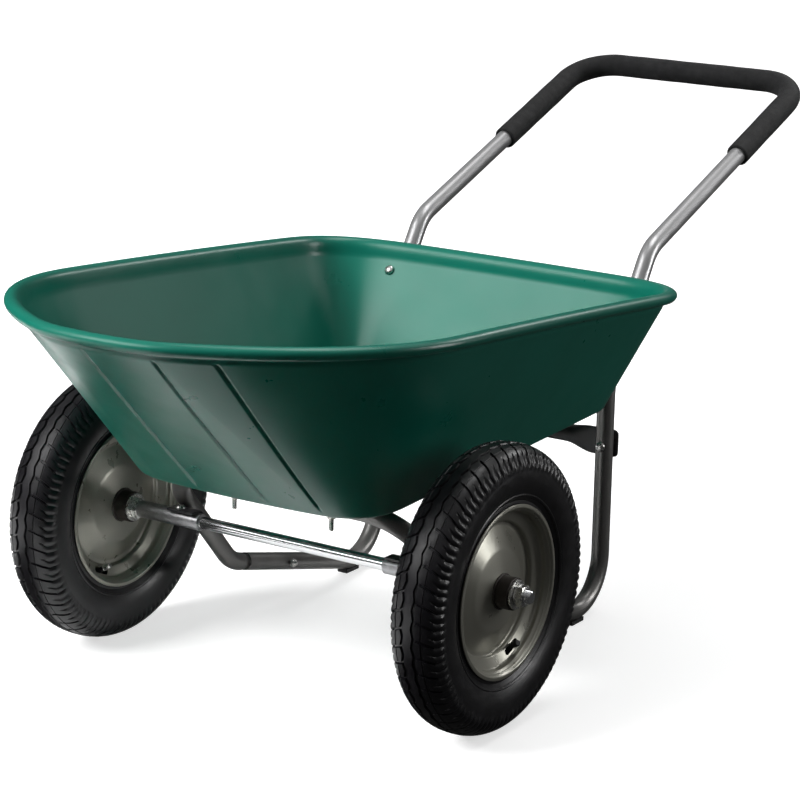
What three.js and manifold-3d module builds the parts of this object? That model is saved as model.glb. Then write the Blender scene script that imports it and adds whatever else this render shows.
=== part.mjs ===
// Two-wheeled garden cart: a poly tray on a bent-tube frame, a fixed axle with two pneumatic wheels,
// and a U-shaped push handle with a foam grip.
// Millimetres, +Z up. The nose of the tray points along -Y and the handle along +Y.
// Pieces are laid out with the axle at y = 0, and the whole cart is then shifted along Y so that the
// origin lies on the ground under the middle of its length.
import * as THREE from "three";
import { mergeVertices } from "three/addons/utils/BufferGeometryUtils.js";
import Module from "manifold-3d";

const wasm = await Module();
wasm.setup();

// ---- driving dimensions ----------------------------------------------------------------------------
const GAP = 0.3; // clearance between pieces that touch
const SIDES = [["left", -1], ["right", 1]];

// wheels: 14 inch pneumatic tyres on two-piece pressed rims
const WHEEL_R = 177.5;
const TRACK = 289; // half the distance between the wheels' middle planes
const TYRE_HALF_WIDTH = 37;
const TYRE_WALL = 7;
const FLANGE_R = 107;
const FLANGE_OFFSET = 28.6;
const BEAD_R = 99;
const WELL_R = 85;
const SHEET = 2.2; // rim sheet thickness
const AIR_TUBE_R = 27;
const AIR_TUBE_WALL = 2;
const AIR_SQUASH = 0.8; // the inner tube is narrower across than it is deep
const HUB_R = 20;
const HUB_HALF = 37;
const BEARING_R = 17;
const BEARING_WIDTH = 11;
const VALVE_ANGLE = { left: -0.42, right: 0.42 }; // from straight down, towards the handle
const VALVE_SLOT = { depth: 16, length: 24, height: 8.4, inset: 2.5, offset: 11 };
const VALVE_ROOT_RISE = 9; // from the well to the valve's foot on the inner tube
const VALVE = { foot: 5, stem: 3.2, cap: 4, capStart: 20.5, length: 31, offset: 3, lean: 0.56 };

// axle
const AXLE_R = 8;
const AXLE_HALF = 349;
const SLEEVE_R = 11;
const SLEEVE_INNER_END = 142;
const AXLE_WASHER = { outer: 18, width: 3 };
const AXLE_NUT_FLATS = 24;
const OUTER_NUT_WIDTH = 11;
const INNER_NUT_WIDTH = 8;

// frame tubes: all side tubes run in two upright planes at x = +-TUBE_X
const TUBE_R = 12;
const TUBE_WALL = 1.2;
const TUBE_X = 183.5;
const FRONT_BAR = { y: -20.5, z: 246, bend: 66 };
const LOW_BEND = { y: 117, z: 86, bend: 60 };
const HEEL_BEND = { y: 461.4, z: -3.6, bend: 65 };
const KNEE_BEND = { y: 461.4, z: 319, bend: 60 };
const HANDLE_BEND = { y: 565, z: 483, bend: 60 };
const HANDLE_BAR = { y: 1021, z: 655, bend: 62 };
const FRAME_JOINT_Y = 146; // where the leg tubes begin, around the reduced ends of the front tube
const HANDLE_JOINT_Z = 388; // where the leg tubes end and the handle begins
const TUBE_END_GAP = 0.5; // between a tube's end and the shoulder of the spigot inside it
// Reduced tube ends: how far each goes into the next tube, and how much of it shows before that.
const FRAME_SPIGOT = { length: 108, neck: 8 };
const HANDLE_SPIGOT = { length: 42, neck: 0 };
const SPIGOT_R = 10.1;
const SPIGOT_WALL = 1.4;
const SHOULDER = { root: 3, start: 1.2, bite: 0.2 }; // where a spigot grows out of its own tube's wall

// tray: plan outlines as half widths, corner cuts and heights at the nose and at the back
const TRAY_WALL = 4;
const RIM_ROLL_R = 8;
// Section of the rolled rim from the outer face of the wall, under and over the roll, to the inner
// face, as [outwards, upwards] from the roll's centre line.
const RIM_SECTION = [
  [-10, -16], [-7.5, -9.5], [-2, -8], [4, -7], [8, -1], [6.5, 4.7], [0, 8], [-7, 6], [-12, -1], [-14, -16],
];
const RIM = {
  half: 292, noseY: -384.7, noseBow: 124, noseCutX: 214, noseCutY: 186,
  backY: 512, backBow: 11.4, backCutX: 123, backCutY: 104, noseZ: 512.4, backZ: 447, crown: 5,
};
const FLOOR = {
  half: 187.5, noseY: -112, noseBow: 11.6, noseCutX: 64, noseCutY: 64,
  backHalf: 217, backY: 426, backBow: 0, backCutX: 45, backCutY: 45, noseZ: 260.7, backZ: 300.8, crown: 0,
};
const FLOOR_EDGE = 6; // rounding between the floor and the walls
const FLOOR_BOSS_R = 13;

// grip, brace, bracket and pads
const GRIP_R = 16.8;
const GRIP_REACH = { left: 252, right: 220 }; // back from the handle's corner along each side tube
const BRACE_Z = 232;
const BRACE_R = 12;
const BRACE_FLAT_HALF = 19;
const BRACE_FLAT_T = 4;
// Half of the brace as [distance from the middle, how far it is pressed flat].
const BRACE_STATIONS = [[196, 1], [166, 1], [141, 0.45], [116, 0.05], [90, 0]];
const BRACKET = { inner: 147, outer: 188, plate: 2.7, tubeRun: 26, lip: 2 };
const PAD = { half: 8, front: 378, back: 408, height: 5.5, gap: 0.6 };

// fasteners
const BOLT_R = 3;
const HOLE_R = BOLT_R + GAP;
const BOLT_HEAD = { r: 7, height: 4 };
const NUT_FLATS = 10;
const NUT_WIDTH = 5;
const BOLT_SEAT = 0.4; // clearance under a head or a nut on a round tube
const WALL_SEAT = 1.4; // the same on the sloping tray wall
const FLOOR_SEAT = 1.2; // and on the sloping tray floor
const BOLT_TAIL = { wall: 5, frame: 4, brace: 4 }; // how far each bolt shows past its nut
const SPACER_R = 8;
const FLOOR_BOLT_X = 74;
const FLOOR_BOLT_END_Z = 213;
const WALL_BOLT_Z = 416;
const FRAME_BOLT_Y = 238;
const BRACKET_BOLT_X = 176;
const BRACKET_BOLT_DEPTH = 4; // below the middle of the axle
const BRACKET_HOLE = { above: 20, length: 50 };

// how finely round shapes are faceted
const BEND_STEP = Math.PI / 10;
const TUBE_FACETS = 12;
const WHEEL_FACETS = 28;
const COLLAR_FACETS = 16;
const BOLT_FACETS = 8;
const AIR_FACETS = 8;

// ---- materials -------------------------------------------------------------------------------------
const finish = (color, roughness, metalness) => () =>
  new THREE.MeshStandardMaterial({ color, roughness, metalness });
const greenPlastic = finish(0x1b5f4a, 0.45, 0);
const silverPaint = finish(0x8d8f90, 0.45, 0.6);
const greyPaint = finish(0x4b4846, 0.5, 0.5);
const blackPaint = finish(0x151515, 0.55, 0.3);
const zinc = finish(0xc4c8cc, 0.25, 1);
const sleeveSteel = finish(0x77777a, 0.4, 0.8);
const rimPaint = finish(0x8a887c, 0.4, 0.3);
const hubPaint = finish(0x35302c, 0.5, 0.4);
const blackRubber = finish(0x17171a, 0.85, 0);
const foam = finish(0x1a1a1a, 0.95, 0);

// ---- geometry helpers ------------------------------------------------------------------------------
const vec = (x, y, z) => new THREE.Vector3(x, y, z);
const AXIS_UP = vec(0, 1, 0); // axis of three.js lathes and cylinders
const ALONG_X = vec(1, 0, 0);
const ALONG_Y = vec(0, 1, 0);
const DOWN = vec(0, 0, -1);

function toSolid(geometry) {
  const bare = geometry.clone();
  bare.deleteAttribute("normal");
  bare.deleteAttribute("uv");
  const merged = mergeVertices(bare, 1e-4);
  return new wasm.Manifold(new wasm.Mesh({
    numProp: 3,
    vertProperties: new Float32Array(merged.attributes.position.array),
    triVerts: new Uint32Array(merged.index.array),
  }));
}

function toGeometry(solid) {
  const mesh = solid.getMesh();
  const geometry = new THREE.BufferGeometry();
  geometry.setAttribute("position", new THREE.BufferAttribute(new Float32Array(mesh.vertProperties), 3));
  geometry.setIndex(new THREE.BufferAttribute(new Uint32Array(mesh.triVerts), 1));
  geometry.computeVertexNormals();
  return geometry;
}

const cut = (geometry, ...tools) =>
  toGeometry(tools.reduce((solid, tool) => solid.subtract(toSolid(tool)), toSolid(geometry)));
const join = (geometry, ...others) =>
  toGeometry(others.reduce((solid, other) => solid.add(toSolid(other)), toSolid(geometry)));

// A closed skin through rings that all have the same number of points; the end rings are capped flat.
function skin(rings) {
  const count = rings[0].length;
  const positions = rings.flat().flatMap((point) => [point.x, point.y, point.z]);
  const triangles = [];
  for (let r = 0; r < rings.length - 1; r++) {
    for (let i = 0; i < count; i++) {
      const j = (i + 1) % count;
      const [a, b, c, d] = [r * count + i, r * count + j, (r + 1) * count + i, (r + 1) * count + j];
      triangles.push(a, b, d, a, d, c);
    }
  }
  const cap = (ring) => {
    const flat = ring.map((point) => new THREE.Vector2(point.x, point.y));
    return THREE.ShapeUtils.triangulateShape(flat, []);
  };
  const last = (rings.length - 1) * count;
  for (const [a, b, c] of cap(rings[0])) {
    triangles.push(a, c, b);
  }
  for (const [a, b, c] of cap(rings[rings.length - 1])) {
    triangles.push(last + a, last + b, last + c);
  }
  const geometry = new THREE.BufferGeometry();
  geometry.setAttribute("position", new THREE.Float32BufferAttribute(positions, 3));
  geometry.setIndex(triangles);
  geometry.computeVertexNormals();
  return geometry;
}

// A path through corners that are rounded by arcs, with stations only where the tube bends.
class BentPath extends THREE.Curve {
  constructor(corners, stepAngle = BEND_STEP) {
    super();
    this.points = [];
    this.tangents = [];
    const last = corners.length - 1;
    const heading = (i) => corners[i + 1].at.clone().sub(corners[i].at).normalize();
    this.addStation(corners[0].at, heading(0));
    for (let i = 1; i < last; i++) {
      this.addBend(corners[i], heading(i - 1), heading(i), stepAngle);
    }
    this.addStation(corners[last].at, heading(last - 1));
  }

  addStation(point, tangent) {
    this.points.push(point.clone());
    this.tangents.push(tangent.clone());
  }

  addBend({ at, bend }, before, after, stepAngle) {
    const turn = before.angleTo(after);
    const steps = Math.ceil(turn / stepAngle);
    const axis = before.clone().cross(after).normalize();
    const start = at.clone().addScaledVector(before, -bend * Math.tan(turn / 2));
    const toCentre = axis.clone().cross(before);
    const centre = start.clone().addScaledVector(toCentre, bend);
    for (let k = 0; k <= steps; k++) {
      const angle = (turn * k) / steps;
      const spoke = toCentre.clone().negate().applyAxisAngle(axis, angle);
      const point = centre.clone().addScaledVector(spoke, bend);
      this.addStation(point, before.clone().applyAxisAngle(axis, angle));
    }
  }

  get steps() {
    return this.points.length - 1;
  }

  pick(list, t) {
    const place = Math.min(t * this.steps, this.steps);
    const low = Math.min(Math.floor(place + 1e-6), this.steps - 1);
    return list[low].clone().lerp(list[low + 1], Math.max(place - low, 0));
  }

  getPoint(t) {
    return this.pick(this.points, t);
  }

  getPointAt(t) {
    return this.pick(this.points, t);
  }

  getTangentAt(t) {
    return this.pick(this.tangents, t).normalize();
  }
}

function ringShape(outer, inner, facets) {
  const shape = new THREE.Shape().absarc(0, 0, outer, 0, 2 * Math.PI);
  if (inner) {
    shape.holes.push(new THREE.Path().absarc(0, 0, inner, 0, 2 * Math.PI, true));
  }
  return [shape, Math.ceil(facets / 2)];
}

function tube(path, outer, inner, facets = TUBE_FACETS) {
  const [shape, curveSegments] = ringShape(outer, inner, facets);
  return new THREE.ExtrudeGeometry(shape, { steps: path.steps, extrudePath: path, curveSegments });
}

// A straight hollow cylinder from one point towards another direction, for sleeves, washers and spacers.
function collar(outer, inner, width, facets = COLLAR_FACETS) {
  const profile = [[inner, 0], [outer, 0], [outer, width], [inner, width], [inner, 0]];
  return new THREE.LatheGeometry(profile.map(([r, h]) => new THREE.Vector2(r, h)), facets);
}

function lathe(profile, facets) {
  return new THREE.LatheGeometry(profile.map(([r, h]) => new THREE.Vector2(r, h)), facets);
}

// Turns a geometry made along the lathe axis so that it points along a direction from a place.
function aim(geometry, from, direction) {
  const turn = new THREE.Quaternion().setFromUnitVectors(AXIS_UP, direction.clone().normalize());
  return geometry.applyQuaternion(turn).translate(from.x, from.y, from.z);
}

function drill(from, direction, length, radius = HOLE_R) {
  const start = from.clone().addScaledVector(direction, -length / 2);
  return aim(lathe([[0, 0], [radius, 0], [radius, length], [0, length]], BOLT_FACETS), start, direction);
}

function domedBolt(length) {
  const { r, height } = BOLT_HEAD;
  return lathe([
    [0, -height], [r * 0.6, -height * 0.75], [r, -height * 0.1], [r, 0], [BOLT_R, 0],
    [BOLT_R, length], [0, length],
  ], BOLT_FACETS);
}

function hexNut(flats, width, hole, facets = BOLT_FACETS) {
  const corner = flats / Math.sqrt(3);
  const shape = new THREE.Shape();
  for (let i = 0; i < 6; i++) {
    const angle = (i * Math.PI) / 3;
    shape[i ? "lineTo" : "moveTo"](corner * Math.cos(angle), corner * Math.sin(angle));
  }
  shape.closePath();
  shape.holes.push(new THREE.Path().absarc(0, 0, hole, 0, 2 * Math.PI, true));
  const extrusion = { depth: width, bevelEnabled: false, curveSegments: facets / 2 };
  return new THREE.ExtrudeGeometry(shape, extrusion).rotateX(-Math.PI / 2);
}

// ---- assembly --------------------------------------------------------------------------------------
const cart = new THREE.Group();

function add(name, geometry, material) {
  const mesh = new THREE.Mesh(geometry, material());
  mesh.name = name;
  cart.add(mesh);
}

// ---- frame paths -----------------------------------------------------------------------------------
const sideCorner = (side, { y, z, bend }) => ({ at: vec(side * TUBE_X, y, z), bend });
const along = (a, b, y) => vec(a.x, y, a.z + ((b.z - a.z) * (y - a.y)) / (b.y - a.y));
const alongHeight = (a, b, z) => vec(a.x, a.y + ((b.y - a.y) * (z - a.z)) / (b.z - a.z), z);

function frameJoint(side, y = FRAME_JOINT_Y) {
  return along(sideCorner(side, LOW_BEND).at, sideCorner(side, HEEL_BEND).at, y);
}

function handleJoint(side, z = HANDLE_JOINT_Z) {
  return alongHeight(sideCorner(side, KNEE_BEND).at, sideCorner(side, HANDLE_BEND).at, z);
}

const runDirection = vec(0, HEEL_BEND.y - LOW_BEND.y, HEEL_BEND.z - LOW_BEND.z).normalize();
const backDirection = vec(0, HANDLE_BEND.y - KNEE_BEND.y, HANDLE_BEND.z - KNEE_BEND.z).normalize();
const slopeDirection = vec(0, HANDLE_BAR.y - HANDLE_BEND.y, HANDLE_BAR.z - HANDLE_BEND.z).normalize();
const wallBoltDirection = vec(0, backDirection.z, -backDirection.y);

// ---- tray ------------------------------------------------------------------------------------------
// One plan outline, nose first, as 3-D points: bowed nose, rounded corners, sides and back.
function trayOutline(plan) {
  const backHalf = plan.backHalf ?? plan.half;
  const noseSide = plan.noseY + plan.noseBow;
  const backSide = plan.backY - plan.backBow;
  const noseAt = (x) => plan.noseY + plan.noseBow * (x / plan.half) ** 2;
  const backAt = (x) => plan.backY - plan.backBow * (x / backHalf) ** 2;
  const noseCorner = new THREE.Vector2(plan.half, noseSide);
  const backCorner = new THREE.Vector2(backHalf, backSide);
  const side = backCorner.clone().sub(noseCorner).normalize();
  const noseStart = new THREE.Vector2(plan.half - plan.noseCutX, noseAt(plan.half - plan.noseCutX));
  const noseEnd = noseCorner.clone().addScaledVector(side, plan.noseCutY);
  const backStart = backCorner.clone().addScaledVector(side, -plan.backCutY);
  const backEnd = new THREE.Vector2(backHalf - plan.backCutX, backAt(backHalf - plan.backCutX));
  const half = [
    ...[0, 0.5].map((t) => new THREE.Vector2(noseStart.x * t, noseAt(noseStart.x * t))),
    ...new THREE.QuadraticBezierCurve(noseStart, noseCorner, noseEnd).getPoints(8),
    noseEnd.clone().lerp(backStart, 0.5),
    ...new THREE.QuadraticBezierCurve(backStart, backCorner, backEnd).getPoints(5),
    new THREE.Vector2(backEnd.x / 2, backAt(backEnd.x / 2)),
    new THREE.Vector2(0, plan.backY),
  ];
  const mirrored = half.slice(1, -1).reverse().map((p) => new THREE.Vector2(-p.x, p.y));
  return [...half, ...mirrored].map((p) => {
    const run = (p.y - plan.noseY) / (plan.backY - plan.noseY);
    const rise = plan.noseZ + (plan.backZ - plan.noseZ) * run + 4 * plan.crown * run * (1 - run);
    return vec(p.x, p.y, rise);
  });
}

// Moves every point of an outline outwards in plan and up.
function offsetRing(ring, out, up) {
  return ring.map((point, i) => {
    const before = ring[(i + ring.length - 1) % ring.length];
    const after = ring[(i + 1) % ring.length];
    const normal = new THREE.Vector2(after.y - before.y, before.x - after.x).normalize();
    return vec(point.x + normal.x * out, point.y + normal.y * out, point.z + up);
  });
}

const blendRings = (low, high, t) => low.map((point, i) => point.clone().lerp(high[i], t));

const rimLine = trayOutline(RIM);
const floorLine = trayOutline(FLOOR);

function makeTrayShell() {
  const rimRings = RIM_SECTION.map(([out, up]) => offsetRing(rimLine, out, up));
  return skin([
    offsetRing(floorLine, -FLOOR_EDGE, 0),
    blendRings(floorLine, rimRings[0], FLOOR_EDGE / (RIM.noseZ - FLOOR.noseZ)),
    ...rimRings,
    offsetRing(floorLine, -TRAY_WALL - 1, TRAY_WALL),
  ]);
}

const floorRise = (FLOOR.backZ - FLOOR.noseZ) / (FLOOR.backY - FLOOR.noseY);
const floorBottomAt = (y) => FLOOR.noseZ + floorRise * (y - FLOOR.noseY);

// Where an outline's back edge crosses the plane of the side tubes.
function backEdgeAtTube(ring) {
  for (let i = 1; i < ring.length; i++) {
    const [p, q] = [ring[i - 1], ring[i]];
    if (p.y > 0 && p.x >= TUBE_X && q.x < TUBE_X) {
      return p.clone().lerp(q, (p.x - TUBE_X) / (p.x - q.x));
    }
  }
  throw new Error("the outline doesn't reach the side tubes");
}

const backWallLow = backEdgeAtTube(floorLine);
const backWallHigh = backEdgeAtTube(offsetRing(rimLine, ...RIM_SECTION[0]));
const backWallAt = (z) => alongHeight(backWallLow, backWallHigh, z).y;

const wallBoltPoint = (side) => vec(side * TUBE_X, backWallAt(WALL_BOLT_Z), WALL_BOLT_Z);
const floorBoltPoint = (side) => vec(side * FLOOR_BOLT_X, FRONT_BAR.y, floorBottomAt(FRONT_BAR.y));

function floorBoss(side) {
  const top = floorBoltPoint(side).add(vec(0, 0, TRAY_WALL / 2));
  const height = top.z - (FRONT_BAR.z + TUBE_R + GAP);
  const boss = lathe([[0, 0], [FLOOR_BOSS_R, 0], [FLOOR_BOSS_R, height], [0, height]], COLLAR_FACETS);
  return aim(boss, top, DOWN);
}

function makeTray() {
  const holes = SIDES.flatMap(([, side]) => [
    drill(wallBoltPoint(side), wallBoltDirection, 60),
    drill(floorBoltPoint(side), DOWN, 80),
  ]);
  const withBosses = join(makeTrayShell(), ...SIDES.map(([, side]) => floorBoss(side)));
  add("tray", cut(withBosses, ...holes), greenPlastic);
}

// ---- frame -----------------------------------------------------------------------------------------
// A reduced tube end that slides into the next tube and is pinned there by a bolt.
function spigot(mouth, direction, { length, neck }) {
  const inner = SPIGOT_R - SPIGOT_WALL;
  const outerRoot = TUBE_R - SHOULDER.bite;
  const profile = [
    [inner, -neck - SHOULDER.root], [outerRoot, -neck - SHOULDER.root], [outerRoot, -neck - SHOULDER.start],
    [SPIGOT_R, GAP - neck], [SPIGOT_R, length], [inner, length], [inner, -neck - SHOULDER.root],
  ];
  return aim(lathe(profile, TUBE_FACETS), mouth, direction);
}

const hollowTube = (path) => tube(path, TUBE_R, TUBE_R - TUBE_WALL);
const frameBoltDrill = (side) => drill(frameJoint(side, FRAME_BOLT_Y), ALONG_X, 60);
const wallBoltDrill = (side) => drill(wallBoltPoint(side), wallBoltDirection, 120);
const braceBoltPoint = (side) => vec(side * TUBE_X, KNEE_BEND.y, BRACE_Z);
const braceBoltDrill = (side) => drill(braceBoltPoint(side), ALONG_Y, 60);

function makeFrontFrame() {
  const tubeEnd = (side) => ({ at: frameJoint(side).addScaledVector(runDirection, -FRAME_SPIGOT.neck) });
  const path = new BentPath([
    tubeEnd(-1),
    sideCorner(-1, LOW_BEND),
    sideCorner(-1, FRONT_BAR),
    sideCorner(1, FRONT_BAR),
    sideCorner(1, LOW_BEND),
    tubeEnd(1),
  ]);
  const spigots = SIDES.map(([, side]) => spigot(frameJoint(side), runDirection, FRAME_SPIGOT));
  const holes = SIDES.flatMap(([, side]) => [frameBoltDrill(side), drill(floorBoltPoint(side), DOWN, 120)]);
  add("front_frame_tube", cut(join(hollowTube(path), ...spigots), ...holes), greyPaint);
}

function makeLeg(name, side) {
  const start = frameJoint(side).addScaledVector(runDirection, TUBE_END_GAP);
  const end = handleJoint(side);
  const path = new BentPath([
    { at: start }, sideCorner(side, HEEL_BEND), sideCorner(side, KNEE_BEND), { at: end },
  ]);
  const leg = join(hollowTube(path), spigot(end, backDirection, HANDLE_SPIGOT));
  const holes = [frameBoltDrill(side), braceBoltDrill(side), wallBoltDrill(side)];
  add(`${name}_leg_tube`, cut(leg, ...holes), greyPaint);
}

const handleCorners = () => [
  { at: handleJoint(-1).addScaledVector(backDirection, TUBE_END_GAP) },
  sideCorner(-1, HANDLE_BEND),
  sideCorner(-1, HANDLE_BAR),
  sideCorner(1, HANDLE_BAR),
  sideCorner(1, HANDLE_BEND),
  { at: handleJoint(1).addScaledVector(backDirection, TUBE_END_GAP) },
];

function makeHandle() {
  const path = new BentPath(handleCorners());
  add("handle_tube", cut(hollowTube(path), wallBoltDrill(-1), wallBoltDrill(1)), silverPaint);
}

function makeGrip() {
  const gripEnd = (side, reach) => sideCorner(side, HANDLE_BAR).at.addScaledVector(slopeDirection, -reach);
  const path = new BentPath([
    { at: gripEnd(-1, GRIP_REACH.left) },
    sideCorner(-1, HANDLE_BAR),
    sideCorner(1, HANDLE_BAR),
    { at: gripEnd(1, GRIP_REACH.right) },
  ]);
  add("foam_grip", tube(path, GRIP_R, TUBE_R + 0.9), foam);
}

// A round tube whose ends are pressed flat and bolted to the back of the legs.
function makeBrace() {
  const rows = [...BRACE_STATIONS.map(([x, flat]) => [-x, flat]), ...BRACE_STATIONS.slice().reverse()];
  const backFace = KNEE_BEND.y + TUBE_R + GAP;
  const rings = rows.map(([x, flat]) => {
    const depth = THREE.MathUtils.lerp(BRACE_R, BRACE_FLAT_T / 2, flat);
    const height = THREE.MathUtils.lerp(BRACE_R, BRACE_FLAT_HALF, flat);
    return Array.from({ length: TUBE_FACETS }, (_, i) => {
      const angle = (2 * Math.PI * i) / TUBE_FACETS;
      return vec(x, backFace + depth * (1 + Math.cos(angle)), BRACE_Z + height * Math.sin(angle));
    });
  });
  const turned = rings.map((ring) => ring.map((p) => vec(p.y, p.z, p.x)));
  const geometry = skin(turned);
  const order = new THREE.Matrix4().makeBasis(vec(0, 1, 0), vec(0, 0, 1), vec(1, 0, 0));
  geometry.applyMatrix4(order);
  add("rear_brace", cut(geometry, braceBoltDrill(-1), braceBoltDrill(1)), blackPaint);
}

function makeFootPad(name, side) {
  const { half, front, back, height } = PAD;
  const block = new THREE.BoxGeometry(2 * half, back - front, height);
  block.translate(side * TUBE_X, (front + back) / 2, height / 2);
  const path = new BentPath([
    { at: frameJoint(side) }, sideCorner(side, HEEL_BEND), sideCorner(side, KNEE_BEND),
  ], BEND_STEP / 2);
  add(`${name}_foot_pad`, cut(block, tube(path, TUBE_R + PAD.gap, 0)), blackRubber);
}

// ---- axle ------------------------------------------------------------------------------------------
const bracketBoltPoint = (side) => vec(side * BRACKET_BOLT_X, 0, WHEEL_R);
// A blind hole from above, ending just under the middle of the axle.
const bracketDrill = (side) =>
  drill(bracketBoltPoint(side).add(vec(0, 0, BRACKET_HOLE.above)), DOWN, BRACKET_HOLE.length);

function makeAxle() {
  const rod = lathe([[0, 0], [AXLE_R, 0], [AXLE_R, 2 * AXLE_HALF], [0, 2 * AXLE_HALF]], COLLAR_FACETS);
  const placed = aim(rod, vec(-AXLE_HALF, 0, WHEEL_R), ALONG_X);
  add("axle_rod", cut(placed, bracketDrill(-1), bracketDrill(1)), zinc);
}

function makeSleeve(name, side) {
  const outerEnd = TRACK - HUB_HALF - AXLE_WASHER.width - INNER_NUT_WIDTH - 3 * GAP;
  const width = outerEnd - SLEEVE_INNER_END;
  const sleeve = collar(SLEEVE_R, AXLE_R + GAP, width);
  const placed = aim(sleeve, vec(side * SLEEVE_INNER_END, 0, WHEEL_R), vec(side, 0, 0));
  add(`${name}_axle_sleeve`, cut(placed, bracketDrill(side)), sleeveSteel);
}

// A folded plate: one leg lies on the side tube, the other goes over the sleeve and is bolted through.
function makeBracket(name, side) {
  const tubeWay = new THREE.Vector2(LOW_BEND.y - FRONT_BAR.y, LOW_BEND.z - FRONT_BAR.z).normalize();
  const towardsAxle = new THREE.Vector2(tubeWay.y, -tubeWay.x);
  const bar = new THREE.Vector2(FRONT_BAR.y, FRONT_BAR.z);
  const onTube = (run, out) => bar.clone().addScaledVector(tubeWay, run).addScaledVector(towardsAxle, out);
  const axle = new THREE.Vector2(-FRONT_BAR.y, WHEEL_R - FRONT_BAR.z);
  const plateOut = axle.dot(towardsAxle) - SLEEVE_R - GAP;
  const plateIn = plateOut - BRACKET.plate;
  const shelfLow = WHEEL_R + SLEEVE_R + GAP;
  const shelfHigh = shelfLow + BRACKET.plate;
  const runAtHeight = (z, out) => (z - FRONT_BAR.z - towardsAxle.y * out) / tubeWay.y;
  const lowEnd = axle.dot(tubeWay) + BRACKET.tubeRun;
  const lip = -SLEEVE_R - BRACKET.lip;
  const outline = [
    new THREE.Vector2(lip, shelfLow),
    onTube(runAtHeight(shelfLow, plateOut), plateOut),
    onTube(lowEnd, plateOut),
    onTube(lowEnd, plateIn),
    onTube(runAtHeight(shelfHigh, plateIn), plateIn),
    new THREE.Vector2(lip, shelfHigh),
  ];
  const depth = BRACKET.outer - BRACKET.inner;
  const plate = new THREE.ExtrudeGeometry(new THREE.Shape(outline), { depth, bevelEnabled: false });
  plate.applyMatrix4(new THREE.Matrix4().makeBasis(vec(0, 1, 0), vec(0, 0, 1), vec(1, 0, 0)));
  plate.translate(side > 0 ? BRACKET.inner : -BRACKET.outer, 0, 0);
  add(`${name}_axle_bracket`, cut(plate, bracketDrill(side)), blackPaint);
}

// Washers and nuts that hold one wheel on the axle.
function makeAxleNuts(name, side) {
  const hole = AXLE_R + GAP;
  const put = (part, geometry, offset) => {
    const at = vec(side * (TRACK + offset), 0, WHEEL_R);
    add(`${name}_${part}`, aim(geometry, at, vec(side, 0, 0)), zinc);
  };
  const washer = () => collar(AXLE_WASHER.outer, hole, AXLE_WASHER.width);
  const nut = (width) => hexNut(AXLE_NUT_FLATS, width, hole, COLLAR_FACETS);
  const seat = HUB_HALF + GAP;
  const nutSeat = seat + AXLE_WASHER.width + GAP;
  put("axle_washer", washer(), seat);
  put("outer_axle_nut", nut(OUTER_NUT_WIDTH), nutSeat);
  put("inner_axle_washer", washer(), -seat - AXLE_WASHER.width);
  put("inner_axle_nut", nut(INNER_NUT_WIDTH), -nutSeat - INNER_NUT_WIDTH);
}

// ---- wheels ----------------------------------------------------------------------------------------
// Tyre section as [radius, offset from the middle plane], open towards the rim where the beads sit.
function tyreSection() {
  const beadFace = FLANGE_OFFSET - SHEET - 0.6;
  const right = [
    [WHEEL_R, 13], [WHEEL_R - 5, 24], [WHEEL_R - 18, 33.5], [WHEEL_R - 36, TYRE_HALF_WIDTH],
    [FLANGE_R + 9, 31], [FLANGE_R + 1, beadFace], [BEAD_R + GAP, beadFace], [BEAD_R + GAP, 15],
    [FLANGE_R + 10, 24], [WHEEL_R - 40, TYRE_HALF_WIDTH - TYRE_WALL], [WHEEL_R - TYRE_WALL - 3, 14],
  ];
  const left = right.map(([r, s]) => [r, -s]).reverse();
  return [...right, ...left, right[0]];
}

// Inner tube section: a soft ring that fills the tyre, hollow, and opened where the valve leaves it.
function airRing(radius) {
  const middle = (BEAD_R + WHEEL_R - TYRE_WALL) / 2;
  const corners = Array.from({ length: AIR_FACETS + 1 }, (_, i) => (2 * Math.PI * i) / AIR_FACETS);
  return corners.map((angle) => [middle + radius * Math.cos(angle), AIR_SQUASH * radius * Math.sin(angle)]);
}

// One pressed half of the rim, from the flange over the bead seat and the well to the dished centre.
function rimSection() {
  const t = SHEET;
  const seam = GAP / 2;
  return [
    [FLANGE_R, FLANGE_OFFSET], [FLANGE_R, FLANGE_OFFSET - t], [BEAD_R, FLANGE_OFFSET - t],
    [BEAD_R, 14], [WELL_R, 8], [WELL_R, seam], [WELL_R - 8, seam], [50, 11],
    [HUB_R + 0.6, 16.5], [HUB_R + 0.6, 16.5 + t], [51, 11 + t], [WELL_R - 8, seam + t + 0.6],
    [WELL_R - t, seam + t + 0.6], [WELL_R - t, 8.5], [BEAD_R - t, 14.5], [BEAD_R - t, FLANGE_OFFSET],
    [FLANGE_R, FLANGE_OFFSET],
  ];
}

const mirrorSection = (section) => section.map(([r, s]) => [r, -s]);
const valveAt = (angle, radius) => vec(0, radius * Math.sin(angle), -radius * Math.cos(angle));

function valveSlot(angle) {
  const middle = valveAt(angle, (WELL_R + BEAD_R) / 2 - VALVE_SLOT.inset);
  const slot = new THREE.BoxGeometry(VALVE_SLOT.depth, VALVE_SLOT.length, VALVE_SLOT.height);
  slot.applyQuaternion(new THREE.Quaternion().setFromAxisAngle(ALONG_X, angle));
  return slot.translate(middle.x + VALVE_SLOT.offset, middle.y, middle.z);
}

function valveStem(angle) {
  const { foot, stem, cap, capStart, length, offset, lean } = VALVE;
  const profile = [
    [0, 0], [foot, 0], [foot, 3], [stem, 5],
    [stem, capStart - 0.5], [cap, capStart], [cap, length], [0, length],
  ];
  const outwards = vec(Math.sqrt(1 - lean * lean), 0, 0).add(valveAt(angle, -lean));
  const root = valveAt(angle, WELL_R + VALVE_ROOT_RISE).add(vec(offset, 0, 0));
  return aim(lathe(profile, BOLT_FACETS), root, outwards);
}

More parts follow.
